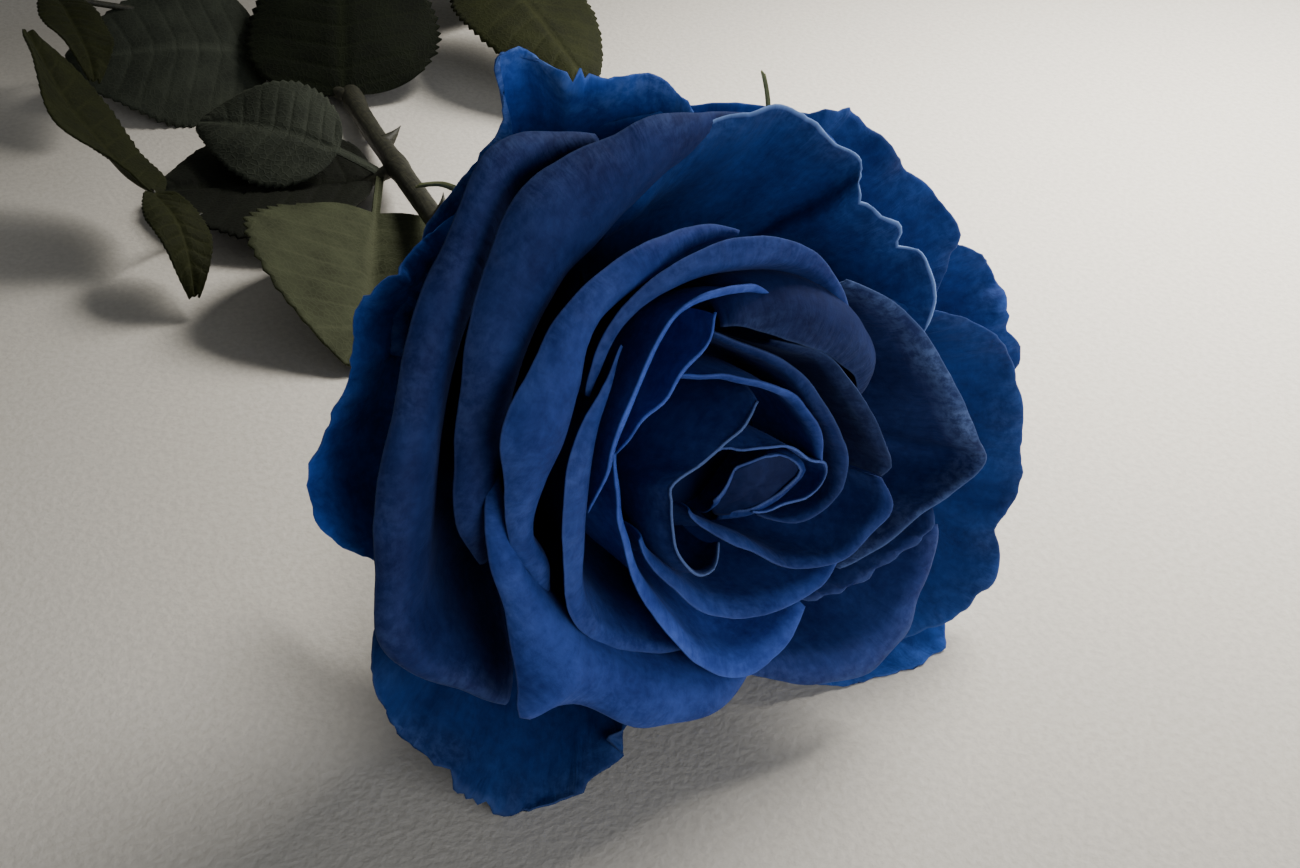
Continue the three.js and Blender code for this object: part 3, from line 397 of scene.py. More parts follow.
# notches: (place, width, depth in mm); pleats: (place, width, depth in mm, reach from the edge in mm)
# painted light and shade: each petal's scale lightens or darkens its blue for the light and shade that
# fall on it
CHARACTER = {
    "heart": dict(painted_light_and_shade=1.2, bare=0.25),
    "bud_cap": dict(painted_light_and_shade=1.7, bare=0.3),
    "bud_wrap": dict(painted_light_and_shade=0.8, bare=0.4),
    "collar_1": dict(painted_light_and_shade=1.8, roll=1.6),
    "collar_2": dict(painted_light_and_shade=0.8, roll=1.6),
    "collar_3": dict(painted_light_and_shade=0.4, roll=1.6),
    "cup_1": dict(painted_light_and_shade=1.1, roll=1.4),
    "cup_2": dict(painted_light_and_shade=1.5, roll=1.4),
    "cup_3": dict(painted_light_and_shade=2.2, roll=1.3),
    "fold_1": dict(painted_light_and_shade=2.4, roll=1.6),
    "fold_2": dict(painted_light_and_shade=2.4, roll=1.6),
    "hood": dict(wave=0.2, waves=2, painted_light_and_shade=0.44),
    "fold_3": dict(painted_light_and_shade=1.25),
    "fold_4": dict(painted_light_and_shade=1.05),
    "mid_left": dict(painted_light_and_shade=1.2),
    "mid_right": dict(wave=0.25, painted_sheen=0.55, painted_light_and_shade=0.6, bare=0.3),
    "mid_low": dict(wave=0.5, waves=4, painted_light_and_shade=1.45),
    "crinkle": dict(wave=0.9, waves=6, rag=0.4, painted_light_and_shade=0.75),
    "mid_low_right": dict(wave=0.5, waves=4, rag=0.3, painted_light_and_shade=0.9),
    "out_left": dict(wave=0.4, waves=3, painted_light_and_shade=0.65),
    "out_top": dict(wave=0.3, rag=0.25, painted_light_and_shade=0.88, bare=1.0, crease=0.2,
                    notches=[(0.72, 0.018, 2.2), (0.6, 0.012, 1.0)]),
    "far_left": dict(wave=0.4, waves=3, painted_light_and_shade=0.6),
    "guard_top": dict(wave=1.0, waves=4, rag=0.6, painted_sheen=0.5, painted_light_and_shade=2.3, crease=0.9,
                      pleats=[(0.5, 0.035, -2.2, 14), (0.575, 0.035, 2.0, 14)]),
    "guard_top_right": dict(wave=0.6, waves=3, painted_light_and_shade=1.9, crease=0.3),
    "guard_right_high": dict(wave=0.9, waves=5, rag=0.5, painted_light_and_shade=1.0, crease=0.6),
    "guard_right": dict(wave=0.9, waves=5, rag=0.7, painted_light_and_shade=1.05, crease=0.8),
    "guard_right_low": dict(wave=0.6, waves=4, rag=0.5, painted_light_and_shade=0.85, crease=0.5),
    "guard_low_right": dict(wave=0.7, waves=4, rag=0.5, painted_light_and_shade=1.3, crease=0.6),
    "guard_under": dict(crease=0.4),
    "guard_bottom": dict(wave=0.9, waves=4, rag=0.6, painted_light_and_shade=0.64, crease=0.8,
                         pleats=[(0.38, 0.05, 3.2, 18), (0.55, 0.1, -3.0, 18), (0.78, 0.04, 3.0, 12)]),
    "guard_left": dict(wave=1.0, waves=5, rag=0.8, painted_sheen=0.2, painted_light_and_shade=2.8, crease=1.2),
}
print(len(CHARACTER), "petals with a temper of their own")

# %% [markdown]
# Every blade, petal or leaf, starts as a flat bmesh grid that carries its own UV map and vertex layers.
# One function finishes them all: it makes the object, gives it thickness, and lets it ride on the frame.

# %% Sheets and pieces
def blank_sheet(columns, rows, *layers):
    """A grid from -1 to 1 both ways, with the skin's UV map and the named vertex layers."""
    bm = bmesh.new()
    bmesh.ops.create_grid(bm, x_segments=columns, y_segments=rows, size=1)
    bm.loops.layers.uv.new("skin")
    return bm, [bm.verts.layers.float.new(name) for name in layers]


def lay_skin(bm, skin_at):
    """Shades the faces smooth; skin_at(vertex) gives its place on the UV map in mm."""
    uv = bm.loops.layers.uv["skin"]
    for face in bm.faces:
        face.smooth = True
        for loop in face.loops:
            loop[uv].uv = skin_at(loop.vert)


def finished(bm, name, finish, node, thickness=0.0):
    """Turns a bmesh into a piece that rides on the frame and stands for its node."""
    mesh = bpy.data.meshes.new(name)
    bm.to_mesh(mesh)
    bm.free()
    piece = bpy.data.objects.new(name, mesh)
    bpy.context.scene.collection.objects.link(piece)
    mesh.materials.append(finish)
    if thickness:
        wall = piece.modifiers.new("thickness", "SOLIDIFY")
        wall.thickness = thickness * MM
        wall.offset = 0
    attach(piece, "root")
    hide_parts(node)
    return piece


print("sheet and piece builders ready")

# %% [markdown]
# Cut along its middle, a petal is one curve: from the claw out to the belly, up to the crest, and over
# the lip. A Hermite curve draws it, because it meets its ends at a given slope. Each point of the profile
# also says how far the petal has spread there towards its full width.

# %% A petal's profile
PROFILE_STEPS = 14
# how far up the blade the belly lies, and where the blade has spread to its full width
BELLY_AT = 0.42
FULL_WIDTH_AT = 0.65


def claw_of(belly):
    """Radius and height of the claw: an inner petal springs from higher up the receptacle."""
    return 3 + 0.12 * belly, max(3, 9 - 0.22 * belly)


def petal_profile(plan, radius, height, lip):
    """Points [radius, height, spread] from the claw to the free edge, close enough to walk along."""
    claw = claw_of(plan["belly"])
    widest = plan["belly"], claw[1] + BELLY_AT * (height - claw[1])
    span = math.dist(claw, (radius, height))
    rise = (radius - claw[0]) / span, (height - claw[1]) / span
    lower, upper = math.dist(claw, widest), math.dist(widest, (radius, height))
    slope, end = math.radians(plan["lean"]), math.radians(plan["curl"])
    points = []
    for k in range(2 * PROFILE_STEPS + 1):
        t = k / PROFILE_STEPS
        width = plan["gather"] + (1 - plan["gather"]) * smoothstep(0, FULL_WIDTH_AT, t / 2)
        if t < 1:
            points.append((hermite(claw[0], lower, widest[0], rise[0] * lower, t),
                           hermite(claw[1], 0, widest[1], rise[1] * lower, t), width))
        else:
            points.append((hermite(widest[0], rise[0] * upper, radius, math.cos(slope) * upper, t - 1),
                           hermite(widest[1], rise[1] * upper, height, math.sin(slope) * upper, t - 1),
                           width))
    for k in range(PROFILE_STEPS):
        direction = slope + (end - slope) * (k + 0.5) / PROFILE_STEPS
        r, z, _ = points[-1]
        step = lip / PROFILE_STEPS
        points.append((r + step * math.cos(direction), z + step * math.sin(direction), 1))
    return points


def walk(points, lengths, distance):
    i = 0
    while i < len(lengths) - 2 and distance > lengths[i + 1]:
        i += 1
    t = (distance - lengths[i]) / max(lengths[i + 1] - lengths[i], 1e-6)
    return [a + (b - a) * t for a, b in zip(points[i], points[i + 1])]


print("the heart petal's claw: radius and height", claw_of(PETALS["heart"]["belly"]), "mm")

# %% [markdown]
# A petal's grid is laid on its surface column by column along the crest, and row by row from the claw
# over the cup, the blade and the lip to the free edge. Rows crowd towards the edge, where the curl needs
# them. A frayed or notched petal simply stops sooner.

# %% A petal's grid
# the width of a cell along the crest in mm, and the rows from claw to edge
CELL = 0.85
FEWEST_COLUMNS = 20
ROWS = 46
CROWDING = 1.5
SHORTEST_LIP = 0.3
# sizes in mm of the coarse and fine fraying, and the most that it may add to a petal
FRAY_SIZES = 3, 1.1
MOST_GROWTH = 0.8


def petal_surface(plan, temper, seed):
    """Points of the smooth petal, and for each (across, along, to_edge): its place on the skin in mm."""
    along, length = through_stations(plan["crest"], crest_distance)
    columns = max(FEWEST_COLUMNS, round(length / CELL))
    grid, facts = [], []
    for i in range(columns + 1):
        u = i / columns
        azimuth, radius, height, lip = along(u)
        points = petal_profile(plan, radius, height, max(lip * temper["roll"], SHORTEST_LIP))
        lengths = [0.0]
        for a, b in zip(points, points[1:]):
            lengths.append(lengths[-1] + math.dist(a[:2], b[:2]))
        coarse, fine = [u * length / size for size in FRAY_SIZES]
        fray = temper["rag"] * (noise.noise(seed + Vector((coarse, 0, 0)))
                                + 0.5 * noise.noise(seed + Vector((fine, 5, 0))))
        cut = sum(depth * math.exp(-((u - place) / width) ** 2)
                  for place, width, depth in temper["notches"])
        whole = lengths[-1] - max(cut + fray, -MOST_GROWTH)
        column, fact = [], []
        for j in range(ROWS + 1):
            share = 1 - (1 - j / ROWS) ** CROWDING
            r, z, width = walk(points, lengths, share * whole)
            column.append(in_bloom(plan["root"] + (azimuth - plan["root"]) * width, r, z))
            fact.append((u * length * width, share * whole, (1 - share) * whole))
        grid.append(column)
        facts.append(fact)
    return grid, facts, length


print("a petal has", ROWS, "rows, and a column about every", CELL, "mm")

# %% [markdown]
# Each point is then pushed a little along the surface's own normal: by a slow noise for the hand of the
# petal, by a faster wave near the edge for its ruffle, and into valleys that run in from the edge where a
# drying petal puckers.

# %% A petal's hand
# depth, reach from the edge and size in mm of what the noise does; pairs of sizes are across and along
SLOW_HAND, SLOW_SIZE = 0.3, 11.0
RUFFLE_REACH, RUFFLE_SIZE = 3.5, 5
CREASE_REACH = 9
FOLD_SIZE = 3.2, 16
NIP_SIZE = 1.5, 6


def hand_of(point, fact, u, temper, seed, length):
    """How far a point is pushed along its normal."""
    across, along, to_edge = fact
    slow = SLOW_HAND * noise.noise(point / SLOW_SIZE + seed)
    near_edge = math.exp(-to_edge / RUFFLE_REACH)
    ruffle = math.sin(2 * math.pi * temper["waves"] * u + 3 * noise.noise(seed + Vector((3 * u, 9, 0))))
    drift = noise.noise(seed + Vector((u * length / RUFFLE_SIZE, 2, 0)))
    wave = temper["wave"] * near_edge * (0.6 * ruffle + drift)
    fold = sum(depth * math.exp(-abs((u - place) / width) ** 1.3) * math.exp(-to_edge / reach)
               for place, width, depth, reach in temper["pleats"])
    folds = noise.noise(seed + Vector((across / FOLD_SIZE[0], along / FOLD_SIZE[1], 4)))
    nips = noise.noise(seed + Vector((across / NIP_SIZE[0], along / NIP_SIZE[1], 7)))
    # a valley runs where the folding noise passes through nought
    pucker = (0.35 - abs(folds)) * 1.6 + 0.45 * nips
    crease = temper["crease"] * math.exp(-to_edge / CREASE_REACH) * pucker
    # the claw stays put: the slow hand grows from 2 to 12 mm up the petal
    return slow * smoothstep(2, 12, along) + wave + fold + crease


print("the strongest ruffle is", max(temper.get("wave", 0) for temper in CHARACTER.values()), "mm")

# %% [markdown]
# Now the petals grow, one bmesh grid each. The layers tell the finish how near the rim a point lies, its
# painted sheen, its painted rim highlight and the petal's painted light and shade. The guard petals and
# `out_top` take the purer, outer blue.

# %% Growing the petals
PETAL_THICKNESS = 0.3
SHEEN_PATCH_SIZE = 6
# no blade's middle comes nearer to the table than this, in mm
LIFT = 0.2


def petal(name, plan):
    temper = {**HABIT, **CHARACTER.get(name, {})}
    # a place in the noise that no other petal shares
    seed = Vector((len(name) * 7.3, plan["belly"] * 3.1, plan["root"] * 0.37))
    grid, facts, length = petal_surface(plan, temper, seed)
    columns = len(grid) - 1
    bm, (rim, painted_sheen, painted_light_and_shade, bare) = blank_sheet(columns, ROWS, "rim", "painted_sheen", "painted_light_and_shade", "bare")
    for vert in bm.verts:
        i = round((vert.co.x + 1) / 2 * columns)
        j = round((vert.co.y + 1) / 2 * ROWS)
        vert.index = i * (ROWS + 1) + j
        du = grid[min(i + 1, columns)][j] - grid[max(i - 1, 0)][j]
        dv = grid[i][min(j + 1, ROWS)] - grid[i][max(j - 1, 0)]
        normal = du.cross(dv).normalized()
        push = hand_of(grid[i][j], facts[i][j], i / columns, temper, seed, length)
        point = grid[i][j] + normal * push
        point.z = max(point.z, LIFT)
        side = min(i, columns - i) / columns * length
        vert[rim] = min(facts[i][j][2], side + 1.0)
        # painted sheen in patches, then the petal's painted light and shade and its painted rim highlight
        vert[painted_sheen] = temper["painted_sheen"] * clamp(0.6 + noise.noise(point / SHEEN_PATCH_SIZE + seed))
        vert[painted_light_and_shade], vert[bare] = temper["painted_light_and_shade"], temper["bare"]
        vert.co = point * MM
    lay_skin(bm, lambda vert: facts[vert.index // (ROWS + 1)][vert.index % (ROWS + 1)][:2])
    outside = name.startswith("guard") or name == "out_top"
    finish = PETAL_FINISHES["outer" if outside else "inner"]
    return finished(bm, "petal_" + name, finish, "bloom", PETAL_THICKNESS)


petals = [petal(name, plan) for name, plan in PETALS.items()]
print(len(petals), "petals,", sum(len(p.data.polygons) for p in petals), "faces before thickness")

# %% [markdown]
# ## The bloom's heart
# Between the claws sits the receptacle, packed with folded petal feet. Nobody sees it, but a gap there
# would let light through the bloom, so a turned core fills it.

# %% Receptacle
CORE = [(0, 2), (7.5, 2), (12, 5), (15.5, 12), (16, 20), (13, 27), (8, 30), (0, 31)]
CORE_EASE = 0.97
TURNED_SIDES = 32
FAR_FROM_RIM = 20


def turned(profile):
    """A closed lathe shape round the bloom's axis, from [radius, height] pairs."""
    bm = bmesh.new()
    verts = [bm.verts.new(in_bloom(0, r, z) * MM) for r, z in profile]
    edges = [bm.edges.new(pair) for pair in zip(verts, verts[1:])]
    bmesh.ops.spin(bm, geom=verts + edges, cent=BLOOM_BASE * MM, axis=AXIS, angle=2 * math.pi,
                   steps=TURNED_SIDES, use_merge=True, use_duplicate=False)
    bmesh.ops.remove_doubles(bm, verts=bm.verts, dist=0.001 * MM)
    bmesh.ops.recalc_face_normals(bm, faces=bm.faces)
    for face in bm.faces:
        face.smooth = True
    return bm


def even_painted_shade(bm, painted_light_and_shade):
    """Gives a piece of the bud one plain painted shade, without painted sheen or a painted rim highlight.
    """
    for name, value in (("rim", FAR_FROM_RIM), ("painted_sheen", 0), ("painted_light_and_shade", painted_light_and_shade), ("bare", 0)):
        made = bm.verts.layers.float.new(name)
        for vert in bm.verts:
            vert[made] = value


core = turned([(r * CORE_EASE, z) for r, z in CORE])
# painted shade: the receptacle lies deep in the heart, so its blue is darkened
even_painted_shade(core, 0.4)
core.loops.layers.uv.new("skin")
receptacle = finished(core, "receptacle", PETAL_FINISHES["inner"], "bloom")
print("receptacle:", len(receptacle.data.polygons), "faces")

# %% [markdown]
# The bud has not opened: its smallest petals still close over one another. A shallow, slightly crumpled
# cover inside the heart petal's rim stands for them.

# %% Bud cover
COVER_DROP = 0.25
COVER_BULGE = 0.9
COVER_SIDES, COVER_RINGS = 64, 12
CRUMPLE = 0.25
CRUMPLE_SIZES = 1.6, 0.7


def bud_cover():
    stations = PETALS["heart"]["crest"] + PETALS["heart"]["crest"][:1]
    rim_curve, _ = through_stations(stations, crest_distance)
    around = [in_bloom(*rim_curve(k / COVER_SIDES)[:3]) - AXIS * COVER_DROP for k in range(COVER_SIDES)]
    centre = sum(around, Vector()) / COVER_SIDES
    bm = bmesh.new()
    bmesh.ops.create_circle(bm, cap_ends=True, cap_tris=True, segments=COVER_SIDES, radius=1)
    spokes = [edge for edge in bm.edges if not edge.is_boundary]
    bmesh.ops.subdivide_edges(bm, edges=spokes, cuts=COVER_RINGS - 1)
    bm.loops.layers.uv.new("skin")
    # painted shade: the bud cover sits deep in the heart, so its blue is darkened
    even_painted_shade(bm, 0.35)
    for vert in bm.verts:
        share = min(math.hypot(vert.co.x, vert.co.y), 1)
        turn = (math.atan2(vert.co.y, vert.co.x) / (2 * math.pi) % 1) * COVER_SIDES
        k = int(turn) % COVER_SIDES
        edge = around[k].lerp(around[(k + 1) % COVER_SIDES], turn - int(turn))
        point = centre.lerp(edge, share) + AXIS * COVER_BULGE * (1 - share ** 2)
        coarse, fine = [noise.noise(point / size) for size in CRUMPLE_SIZES]
        vert.co = (point + AXIS * CRUMPLE * (coarse + 0.5 * fine) * (1 - share ** 4)) * MM
    bmesh.ops.recalc_face_normals(bm, faces=bm.faces)
    lay_skin(bm, lambda vert: (vert.co.dot(ACROSS) / MM, vert.co.dot(UPWARDS) / MM))
    return finished(bm, "bud_cover", PETAL_FINISHES["inner"], "bloom", PETAL_THICKNESS)


cover = bud_cover()
print("bud cover:", len(cover.data.polygons), "faces")

# %% [markdown]
# ## Green finishes
# A rose leaflet is thin, dull on top and netted with veins that show paler than the blade. Drying has
# turned these grey-olive, and each leaflet's green is also set lighter where it sits in light and darker
# where it lies in shade: partly painted light and shade. The pattern again follows the UV map in
# millimetres. The main veins come from a layer written by the same code that sinks them into the blade,
# so colour and relief agree.

# %% Leaf, stem and sepal finishes
LEAF_SKIN = dict(Roughness=0.78, IOR=1.45, Specular_IOR_Level=0.15, Sheen_Weight=0.04,
                 Sheen_Tint=linear("#c9d2b4"))


def leaf_finish(name, deep, body, vein_colour):
    # roughness 0.78: a matte cuticle with a little velvet, no gloss
    finish, tree, shader = new_finish(name, **LEAF_SKIN)
    place = add_node(tree, "UVMap", "UV", uv_map="skin")
    cells = add_node(tree, "TexVoronoi", "Distance", {"Vector": place, "Scale": 0.9},
                     feature="DISTANCE_TO_EDGE")
    net = add_node(tree, "MapRange", "Result", (cells, 0.0, 0.16, 1.0, 0.0))
    blotches = add_node(tree, "TexNoise", "Fac", {"Vector": place, "Scale": 0.16, "Detail": 4.0})
    grain = add_node(tree, "TexNoise", "Fac", {"Vector": place, "Scale": 3.5, "Detail": 2.0})
    # colour: two greens in blotches, a faint net of veins, then the main veins
    patchy = add_node(tree, "MapRange", "Result", (blotches, 0.32, 0.68))
    blade = add_node(tree, "Mix", MIXED, {
        SHARE: patchy, FIRST: linear(deep), SECOND: linear(body)}, data_type="RGBA")
    faint = add_node(tree, "MapRange", "Result", (net, 0.0, 1.0, 0.0, 0.25))
    netted = add_node(tree, "Mix", MIXED, {
        SHARE: faint, FIRST: blade, SECOND: linear(vein_colour)}, data_type="RGBA")
    vein = add_node(tree, "Attribute", "Fac", attribute_name="vein")
    main_veins = add_node(tree, "MapRange", "Result", (vein, 0.1, 1.0, 0.0, 0.75))
    colour = add_node(tree, "Mix", MIXED, {
        SHARE: main_veins, FIRST: netted, SECOND: linear(vein_colour)}, data_type="RGBA")
    tree.links.new(colour, shader.inputs["Base Color"])
    relief = add_node(tree, "Bump", "Normal", {"Height": net, "Strength": 0.35, "Distance": 0.15 * MM})
    relief = add_node(tree, "Bump", "Normal", {
        "Height": grain, "Strength": 0.3, "Distance": 0.12 * MM, "Normal": relief})
    tree.links.new(relief, shader.inputs["Normal"])
    return finish


def bark_finish(name, deep, body):
    # roughness 0.55: green bark is waxy, with fine lengthwise ribs and small corky flecks
    finish, tree, shader = new_finish(name, Roughness=0.55, IOR=1.45)
    place = add_node(tree, "UVMap", "UV", uv_map="skin")
    cork = add_node(tree, "TexNoise", "Fac", {"Vector": place, "Scale": 0.9, "Detail": 4.0})
    flecks = add_node(tree, "MapRange", "Result", (cork, 0.35, 0.68))
    colour = add_node(tree, "Mix", MIXED, {
        SHARE: flecks, FIRST: linear(deep), SECOND: linear(body)}, data_type="RGBA")
    tree.links.new(colour, shader.inputs["Base Color"])
    ribs = streaks(tree, place, 2.2, 0.12)
    relief = add_node(tree, "Bump", "Normal", {"Height": ribs, "Strength": 0.5, "Distance": 0.25 * MM})
    tree.links.new(relief, shader.inputs["Normal"])
    return finish


# pale to deep: the leaflets' own greys and olives, each also lightened or darkened as painted light and
# shade for that leaflet
LEAF_FINISHES = {
    "pale": leaf_finish("rose_leaf_pale", "#2c3020", "#3c412e", "#4b4f3b"),
    "grey": leaf_finish("rose_leaf_grey", "#242822", "#343930", "#3f443a"),
    "olive": leaf_finish("rose_leaf_olive", "#191c0c", "#252911", "#31341c"),
    "dark": leaf_finish("rose_leaf_dark", "#0a0c08", "#11140e", "#191c14"),
    "deep": leaf_finish("rose_leaf_deep", "#080c05", "#11170a", "#1a200f"),
}
SEPAL_FINISH = leaf_finish("rose_sepal", "#3a4126", "#5c6440", "#7f8660")
BARK_FINISH = bark_finish("rose_bark", "#1f2019", "#3a3a2c")
CUT_FINISH = bark_finish("cut_pith", "#8a8560", "#b3ad85")
print("green finishes:", ", ".join(LEAF_FINISHES), "leaf, sepal, bark, pith")

# %% [markdown]
# ## Rods
# The stem, the leaf stalks and the thorns are all round rods that follow a smooth curve. The curve is a
# centripetal Catmull-Rom: it passes through its points without kinks, so a few points set a bend.

# %% Curves
SAMPLES_A_SPAN = 24


def centripetal(points):
    points = [Vector(p) for p in points]
    padded_points = [2 * points[0] - points[1], *points, 2 * points[-1] - points[-2]]

    def segment(i, t):
        p0, p1, p2, p3 = padded_points[i:i + 4]
        d0, d1, d2 = [max((b - a).length ** 0.5, 1e-4) for a, b in ((p0, p1), (p1, p2), (p2, p3))]
        leaving = ((p1 - p0) / d0 - (p2 - p0) / (d0 + d1) + (p2 - p1) / d1) * d1
        arriving = ((p2 - p1) / d1 - (p3 - p1) / (d1 + d2) + (p3 - p2) / d2) * d1
        return hermite(p1, leaving, p2, arriving, t)

    samples = [segment(i, k / SAMPLES_A_SPAN) for i in range(len(points) - 1)
               for k in range(SAMPLES_A_SPAN)] + [points[-1]]
    lengths = [0.0]
    for a, b in zip(samples, samples[1:]):
        lengths.append(lengths[-1] + (b - a).length)

    def at(share):
        return Vector(walk(samples, lengths, clamp(share) * lengths[-1]))

    return at, lengths[-1]


print("curve helper ready:", SAMPLES_A_SPAN, "samples between two points")

# %% [markdown]
# A ring of vertices is extruded along the curve and each new ring is laid square to it, so the bark stays
# one unbroken skin of changing thickness. A bevelled curve would be quicker, but its UV map isn't in
# millimetres, which the bark's ribs need.

# %% Rods
def tangent_of(path, share, step=0.004):
    return (path(min(share + step, 1)) - path(max(share - step, 0))).normalized()


def next_ring_of(faces, ring, grown_verts):
    """The grown vertex that follows each vertex of the ring."""
    follower = {}
    for edge in {e for f in faces for e in f.edges}:
        a, b = edge.verts
        if (a in grown_verts) != (b in grown_verts):
            follower[b if a in grown_verts else a] = a if a in grown_verts else b
    return [follower[vert] for vert in ring]


def rod(bm, path, length, rings, sides, radius_at, first=0.0):
    """Extrudes a ring along a path; radius_at(share, angle) gives the radius. Both ends are closed."""
    uv = bm.loops.layers.uv.get("skin") or bm.loops.layers.uv.new("skin")
    side = tangent_of(path, first).orthogonal().normalized()
    pitch = (1 - first) / rings

    def ring_places(share):
        nonlocal side
        direction = tangent_of(path, share)
        side = (side - direction * side.dot(direction)).normalized()
        other = direction.cross(side)
        centre = path(share)
        angles = [2 * math.pi * k / sides for k in range(sides)]
        return [centre + (side * math.cos(angle) + other * math.sin(angle)) * radius_at(share, angle)
                for angle in angles]

    ring = [bm.verts.new(place * MM) for place in ring_places(first)]
    edges = [bm.edges.new((ring[k], ring[(k + 1) % sides])) for k in range(sides)]
    start = bm.faces.new(ring)
    made = [start]
    for i in range(1, rings + 1):
        share = first + (1 - first) * i / rings
        grown = bmesh.ops.extrude_edge_only(bm, edges=edges)["geom"]
        new_faces = [g for g in grown if isinstance(g, bmesh.types.BMFace)]
        new_verts = {g for g in grown if isinstance(g, bmesh.types.BMVert)}
        next_ring = next_ring_of(new_faces, ring, new_verts)
        for vert, place in zip(next_ring, ring_places(share)):
            vert.co = place * MM
        for k in range(sides):
            beside = (k + 1) % sides
            face = next(f for f in new_faces if ring[k] in f.verts and ring[beside] in f.verts)
            around = {ring[k]: k, next_ring[k]: k, ring[beside]: k + 1, next_ring[beside]: k + 1}
            for loop in face.loops:
                when = share if loop.vert in new_verts else share - pitch
                turn = around[loop.vert] * 2 * math.pi / sides
                loop[uv].uv = (turn * radius_at(when, 0), when * length)
        ring = next_ring
        edges = [bm.edges.get((ring[k], ring[(k + 1) % sides])) for k in range(sides)]
        made += new_faces
    end = bm.faces.new(ring)
    made.append(end)
    bmesh.ops.recalc_face_normals(bm, faces=made)
    for face in made:
        face.smooth = face not in (start, end)
    return start, end


print("rod builder ready")

# %% [markdown]
# ## Stem and thorns
# The stem hangs from the hip, sinks to the table and runs away to its cut end. It swells where each leaf
# stands. A thorn is a round hook that tapers from a broad foot; it leans back along the stem.

# %% Stem
HIP_FOOT = -8
SEAT_GAP = 0.3
STEM_POINTS = [in_bloom(0, 0, HIP_FOOT - SEAT_GAP), in_bloom(0, 0, HIP_FOOT - 6)] + [
    Vector(p) - FOOTPRINT_CENTRE for p in (
        (2.5, 24, 24), (6.5, 40, 20.2), (11, 57, 17), (14.2, 70, 14.6), (16.8, 84, 12), (20, 99.5, 9),
        (23, 115, 6.5), (26.5, 135, 4.0), (30.2, 154, 2.7), (35, 172, 2.1), (43, 200, 2.0))]
NECK_RADIUS = 1.85
RADIUS_GAIN = 0.35
NODE_SWELLING, NODE_REACH = 0.35, 0.02
SHOULDER, SHOULDER_REACH = 0.6, 0.02
KNOB_HEIGHT = 0.07
STEM_RINGS, STEM_SIDES = 220, 24
CUT_RIM, CUT_DISH = 0.35, 0.15
LEAF_NODES = (0.555, 0.87, 0.745)
stem_path, stem_length = centripetal(STEM_POINTS)

# thorns: share of the stem's length, degrees round it from the top
THORNS = [(0.2, 70), (0.3, 120), (0.38, 20), (0.62, 60), (0.68, 150), (0.8, -80), (0.92, 60)]
THORN_HEIGHT = 3.6
THORN_LEAN = 1.6
THORN_FOOT, THORN_POINT = 1.75, 0.06


def stem_radius(share, angle=0.0):
    plain = NECK_RADIUS + RADIUS_GAIN * share
    swell = max(math.exp(-((share - node) / NODE_REACH) ** 2) for node in LEAF_NODES)
    knobs = KNOB_HEIGHT * noise.noise(Vector((math.cos(angle), math.sin(angle), share * 22)) * 1.4)
    return plain + NODE_SWELLING * swell + SHOULDER * math.exp(-share / SHOULDER_REACH) + knobs


def thorn_radius(share, _angle):
    return THORN_FOOT * (1 - share) ** 1.25 + THORN_POINT


def thorn(bm, share, round_deg):
    along = tangent_of(stem_path, share)
    sideways = Vector((along.y, -along.x, 0)).normalized()
    top = sideways.cross(along)
    outward = top * math.cos(math.radians(round_deg)) + sideways * math.sin(math.radians(round_deg))
    foot = stem_path(share) + outward * 0.5 * stem_radius(share)
    tip = foot + outward * (THORN_HEIGHT + 0.4 * stem_radius(share)) + along * THORN_LEAN
    middle = foot + outward * 0.75 * THORN_HEIGHT + along * 0.5
    path, length = centripetal([foot - along * 0.2, foot + outward * 1.2, middle, tip])
    rod(bm, path, length, 10, 10, thorn_radius)


def stem():
    bm = bmesh.new()
    _, end = rod(bm, stem_path, stem_length, STEM_RINGS, STEM_SIDES, stem_radius)
    for plan in THORNS:
        thorn(bm, *plan)
    for vert in bm.verts:
        vert.co.z = max(vert.co.z, 0.0)
    bmesh.ops.inset_individual(bm, faces=[end], thickness=CUT_RIM * MM, depth=-CUT_DISH * MM)
    end.material_index = 1
    piece = finished(bm, "stem_with_thorns", BARK_FINISH, "stem")
    piece.data.materials.append(CUT_FINISH)
    return piece


stem_piece = stem()
print("stem:", len(stem_piece.data.polygons), "faces,", round(stem_length), "mm long")

# %% [markdown]
# ## Hip and sepals
# The hip is a small turned urn. From its rim five sepals fold back: long tapering blades, hollow along
# their middle, with a fringe of small lobes. A sepal's stations give radius, height, half its width, and
# azimuth.

